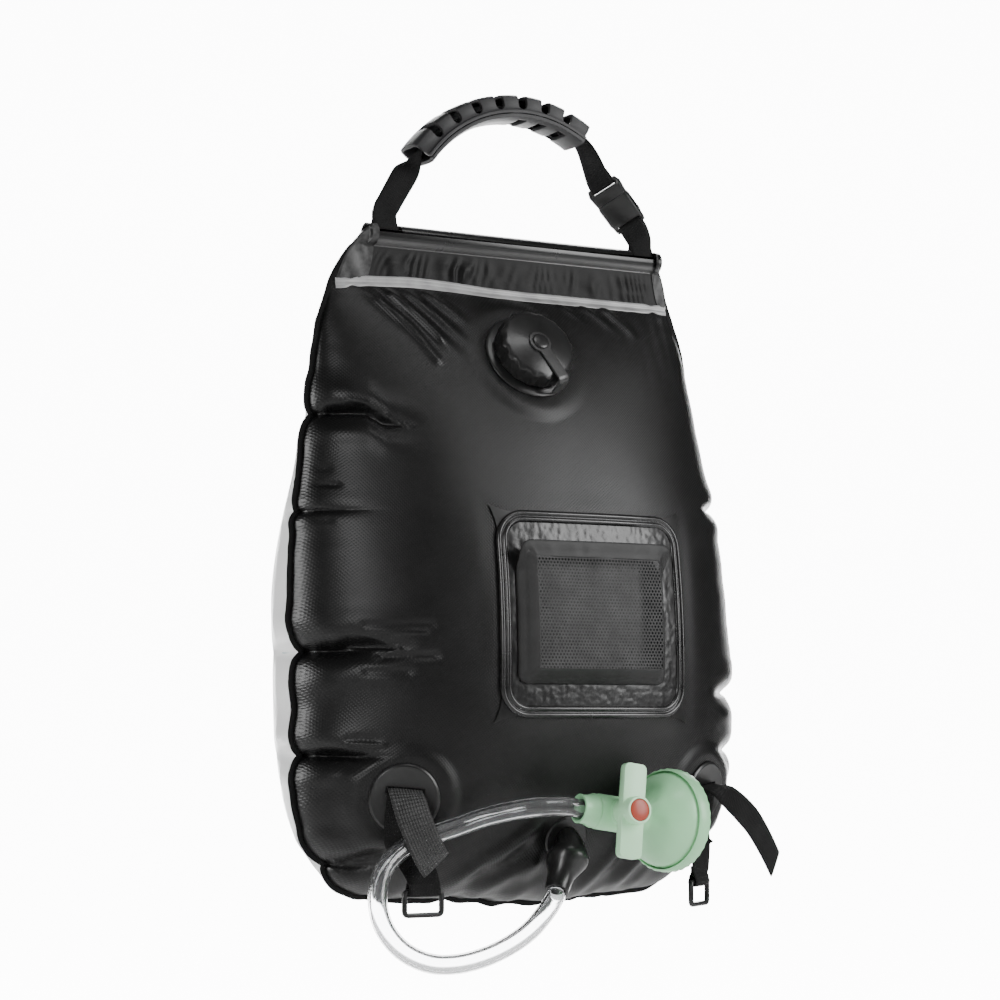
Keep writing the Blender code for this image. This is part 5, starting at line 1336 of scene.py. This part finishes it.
def shoulder(side):
    """The clear corner that closes one end of the sleeve over the bag's shoulder."""
    outer = shoulder_outer
    if side > 0:
        outer = [(0.1242 + (across - 0.1242) * 0.47, drop) for across, drop in outer]
    steps, count = 10, 8
    last = len(outer) - 1
    points = []
    for facing in (-1, 1):
        for index in range(last * count + 1):
            low, high = index // count, min(index // count + 1, last)
            t = index % count / count
            far, near = ([line[low][k] * (1 - t) + line[high][k] * t for k in (0, 1)]
                         for line in (outer, shoulder_inner))
            for step in range(steps + 1):
                u = step / steps
                across, drop = (start * (1 - u) + end * u for start, end in zip(near, far))
                round_rod = math.sqrt(max(0.0086 ** 2 - (drop - rod_drop) ** 2, 0))
                closed = ease(1 - (across - 0.1245) / (0.013 if side < 0 else 0.009))
                depth = 0.002 + round_rod * closed * (1 if drop < 0.1075 else closed)
                wrinkle = 0.0009 * wavy(across * 150 + drop * 90, 4.4) * ease(u * 3) * ease((1 - u) * 3)
                points.append(Vector((side * across, facing * (depth + wrinkle), -drop)))
    rows, size = last * count + 1, steps + 1
    block = rows * size
    faces = quads(rows, size) + quads(rows, size, base=block)
    for row in range(rows - 1):
        a = row * size + steps
        faces.append((a, a + size, block + a + size, block + a))
    for a in range((rows - 1) * size, rows * size - 1):
        faces.append((a, a + 1, block + a + 1, block + a))
    item = piece("shoulder_left" if side < 0 else "shoulder_right", points, faces, "shoulder_film", "bag")
    face_outwards(item.data)


# Grip

def grip_ring(frame):
    """One section of the wrap: a thin C round the strap whose edges meet as two flanges."""
    edge = grip_half_width + grip_flange
    outer = (
        (edge, -0.003), (0.0155, -0.0025), (0.0147, -0.0008), (0.0145, 0.004), (0.0136, 0.0078),
        (0.0112, 0.0097), (0.007, 0.0103), (0.0, 0.0104), (-0.007, 0.0103), (-0.0112, 0.0095),
        (-0.0138, 0.007), (-0.0145, 0.003), (-0.0145, -0.002), (-0.0136, -0.0062), (-0.011, -0.0085),
        (-0.006, -0.0093), (0.0, -0.0095), (0.007, -0.0095), (0.012, -0.0092), (0.015, -0.0085),
        (edge, -0.0079),
    )
    inner = (
        (edge, -0.0057), (0.0148, -0.0057), (0.0118, -0.0064), (0.008, -0.0068), (-0.008, -0.0066),
        (-0.0112, -0.0045), (-0.0119, 0.001), (-0.0112, 0.0058), (-0.008, 0.0074), (0.008, 0.0075),
        (0.0112, 0.0058), (0.0119, 0.0005), (0.0126, -0.0036), (0.015, -0.005), (edge, -0.0051),
    )
    return [frame @ Vector((x, -y if y > -0.004 else -y * 1.2 - 0.0008, 0)) for x, y in outer + inner]


def slot_cutter(angle, low, high, near, far):
    """A slot across the arch with round ends, as a hidden tool."""
    frame = arch_frame(angle)
    half = slot_width / 2
    outline = []
    for step in range(9):
        turn = math.pi + math.pi * step / 8
        outline.append((half * math.cos(turn), low + half + half * math.sin(turn)))
    outline += [(half, high), (-half, high)]
    points = [frame @ Vector((x, -y, z)) for x in (near, far) for z, y in outline]
    size = len(outline)
    mesh = make_mesh("slot_tool", points, [
        tuple(range(size)), tuple(range(size, 2 * size))[::-1], *quads(2, size, True)])
    face_outwards(mesh)
    return mesh


def grip():
    """The ribbed wrap: round-ended slots over its top and front, and under its right end."""
    whole = grip_left_angle + grip_right_angle
    steps = 96
    points = []
    for index in range(steps + 1):
        points += grip_ring(arch_frame(-grip_left_angle + whole * index / steps))
    size = len(points) // (steps + 1)
    faces = [tuple(range(size))[::-1], tuple(range(steps * size, len(points)))] + quads(steps + 1, size, True)
    item = piece("grip", points, faces, "grip_rubber", "handle", ["grip_shell"])
    face_outwards(item.data)
    tools = []
    for index in range(rib_count - 1):
        angle = -grip_left_angle + whole * (index + 1) / rib_count
        cutters = [slot_cutter(angle, -0.0018, 0.016, -0.0105, 0.02)]
        if index >= first_low_slot:
            cutters.append(slot_cutter(angle, -0.016, -0.0068, -0.012, 0.0128))
        for mesh in cutters:
            tools.append(add_object("slot_tool", mesh))
            change = item.modifiers.new("slot", "BOOLEAN")
            change.operation, change.solver, change.object = "DIFFERENCE", "EXACT", tools[-1]
    item.data = applied(item)
    for tool in tools:
        bpy.data.objects.remove(tool)
    soften(item.data, 0.0006)
    dress(item, "grip_rubber")


def soften(mesh, rounding):
    """Round a mesh's sharp edges and smooth the rest."""
    made = bmesh.new()
    made.from_mesh(mesh)
    bmesh.ops.remove_doubles(made, verts=made.verts, dist=0.00001)
    bmesh.ops.dissolve_limit(
        made, angle_limit=math.radians(1.5), verts=made.verts, edges=made.edges, delimit={"SHARP"})
    made.normal_update()
    edges = [edge for edge in made.edges if edge.is_manifold and edge.calc_face_angle(0) > math.radians(38)]
    bmesh.ops.bevel(
        made, geom=edges, offset=rounding, segments=2, profile=0.6, affect="EDGES", clamp_overlap=True)
    made.to_mesh(mesh)
    made.free()
    mesh.shade_smooth()
    mesh.set_sharp_from_angle(angle=math.radians(34))


# Building

def build_bag():
    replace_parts(film_panel("front_film", True, "black_film", 210), "front_panel")
    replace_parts(film_panel("back_film", False, "milky_film", 130), "back_panel")
    for build in (water_body, weld_band, vinyl_sheet, vinyl_bead, binding, net):
        build()
    shoulder(-1)
    shoulder(1)


def build_straps():
    handle_strap()
    tab_strap()
    ring_strap("ring_strap_left", -1, "ring_webbing_left")
    ring_strap("ring_strap_right", 1, "ring_webbing_right")
    hose_strap("strap_over_hose", -1, hose_strap_left_route, (0.76, 0.46, -0.45), "hose_strap_left")
    hose_strap("strap_free", 1, hose_strap_right_route, (0.8, 0.55, -0.25), "hose_strap_right")


# How much each fitting's sharp edges are rounded
roundings = {
    0.0003: ("buckle_prong_front", "buckle_prong_rear", "rod_sleeve", "lever_button", "head_ring"),
    0.0004: ("fill_port", "cap_tether", "anchor_patch_left", "anchor_patch_right", "outlet_boot",
             "hose_collar", "head_shell"),
    0.0005: ("buckle_male", "buckle_female", "fill_cap", "anchor_ring_left", "anchor_ring_right",
             "valve_body"),
    0.0008: ("valve_lever",),
}


def build_fittings():
    for rounding, names in roundings.items():
        for name in names:
            refined(name, "tether_plastic" if name == "cap_tether" else finishes[name], rounding)
    grip()


finishes = {row["node"]: row["material_slot"] for row in frame["record"]["subparts"]}


def main():
    looks.update(make_materials())
    make_camera()
    hose()
    make_light()
    make_backdrop()
    for name, item in nodes.items():
        item.data.materials.clear()
        item.data.materials.append(looks[finishes[name]])
    build_bag()
    build_straps()
    build_fittings()


main()
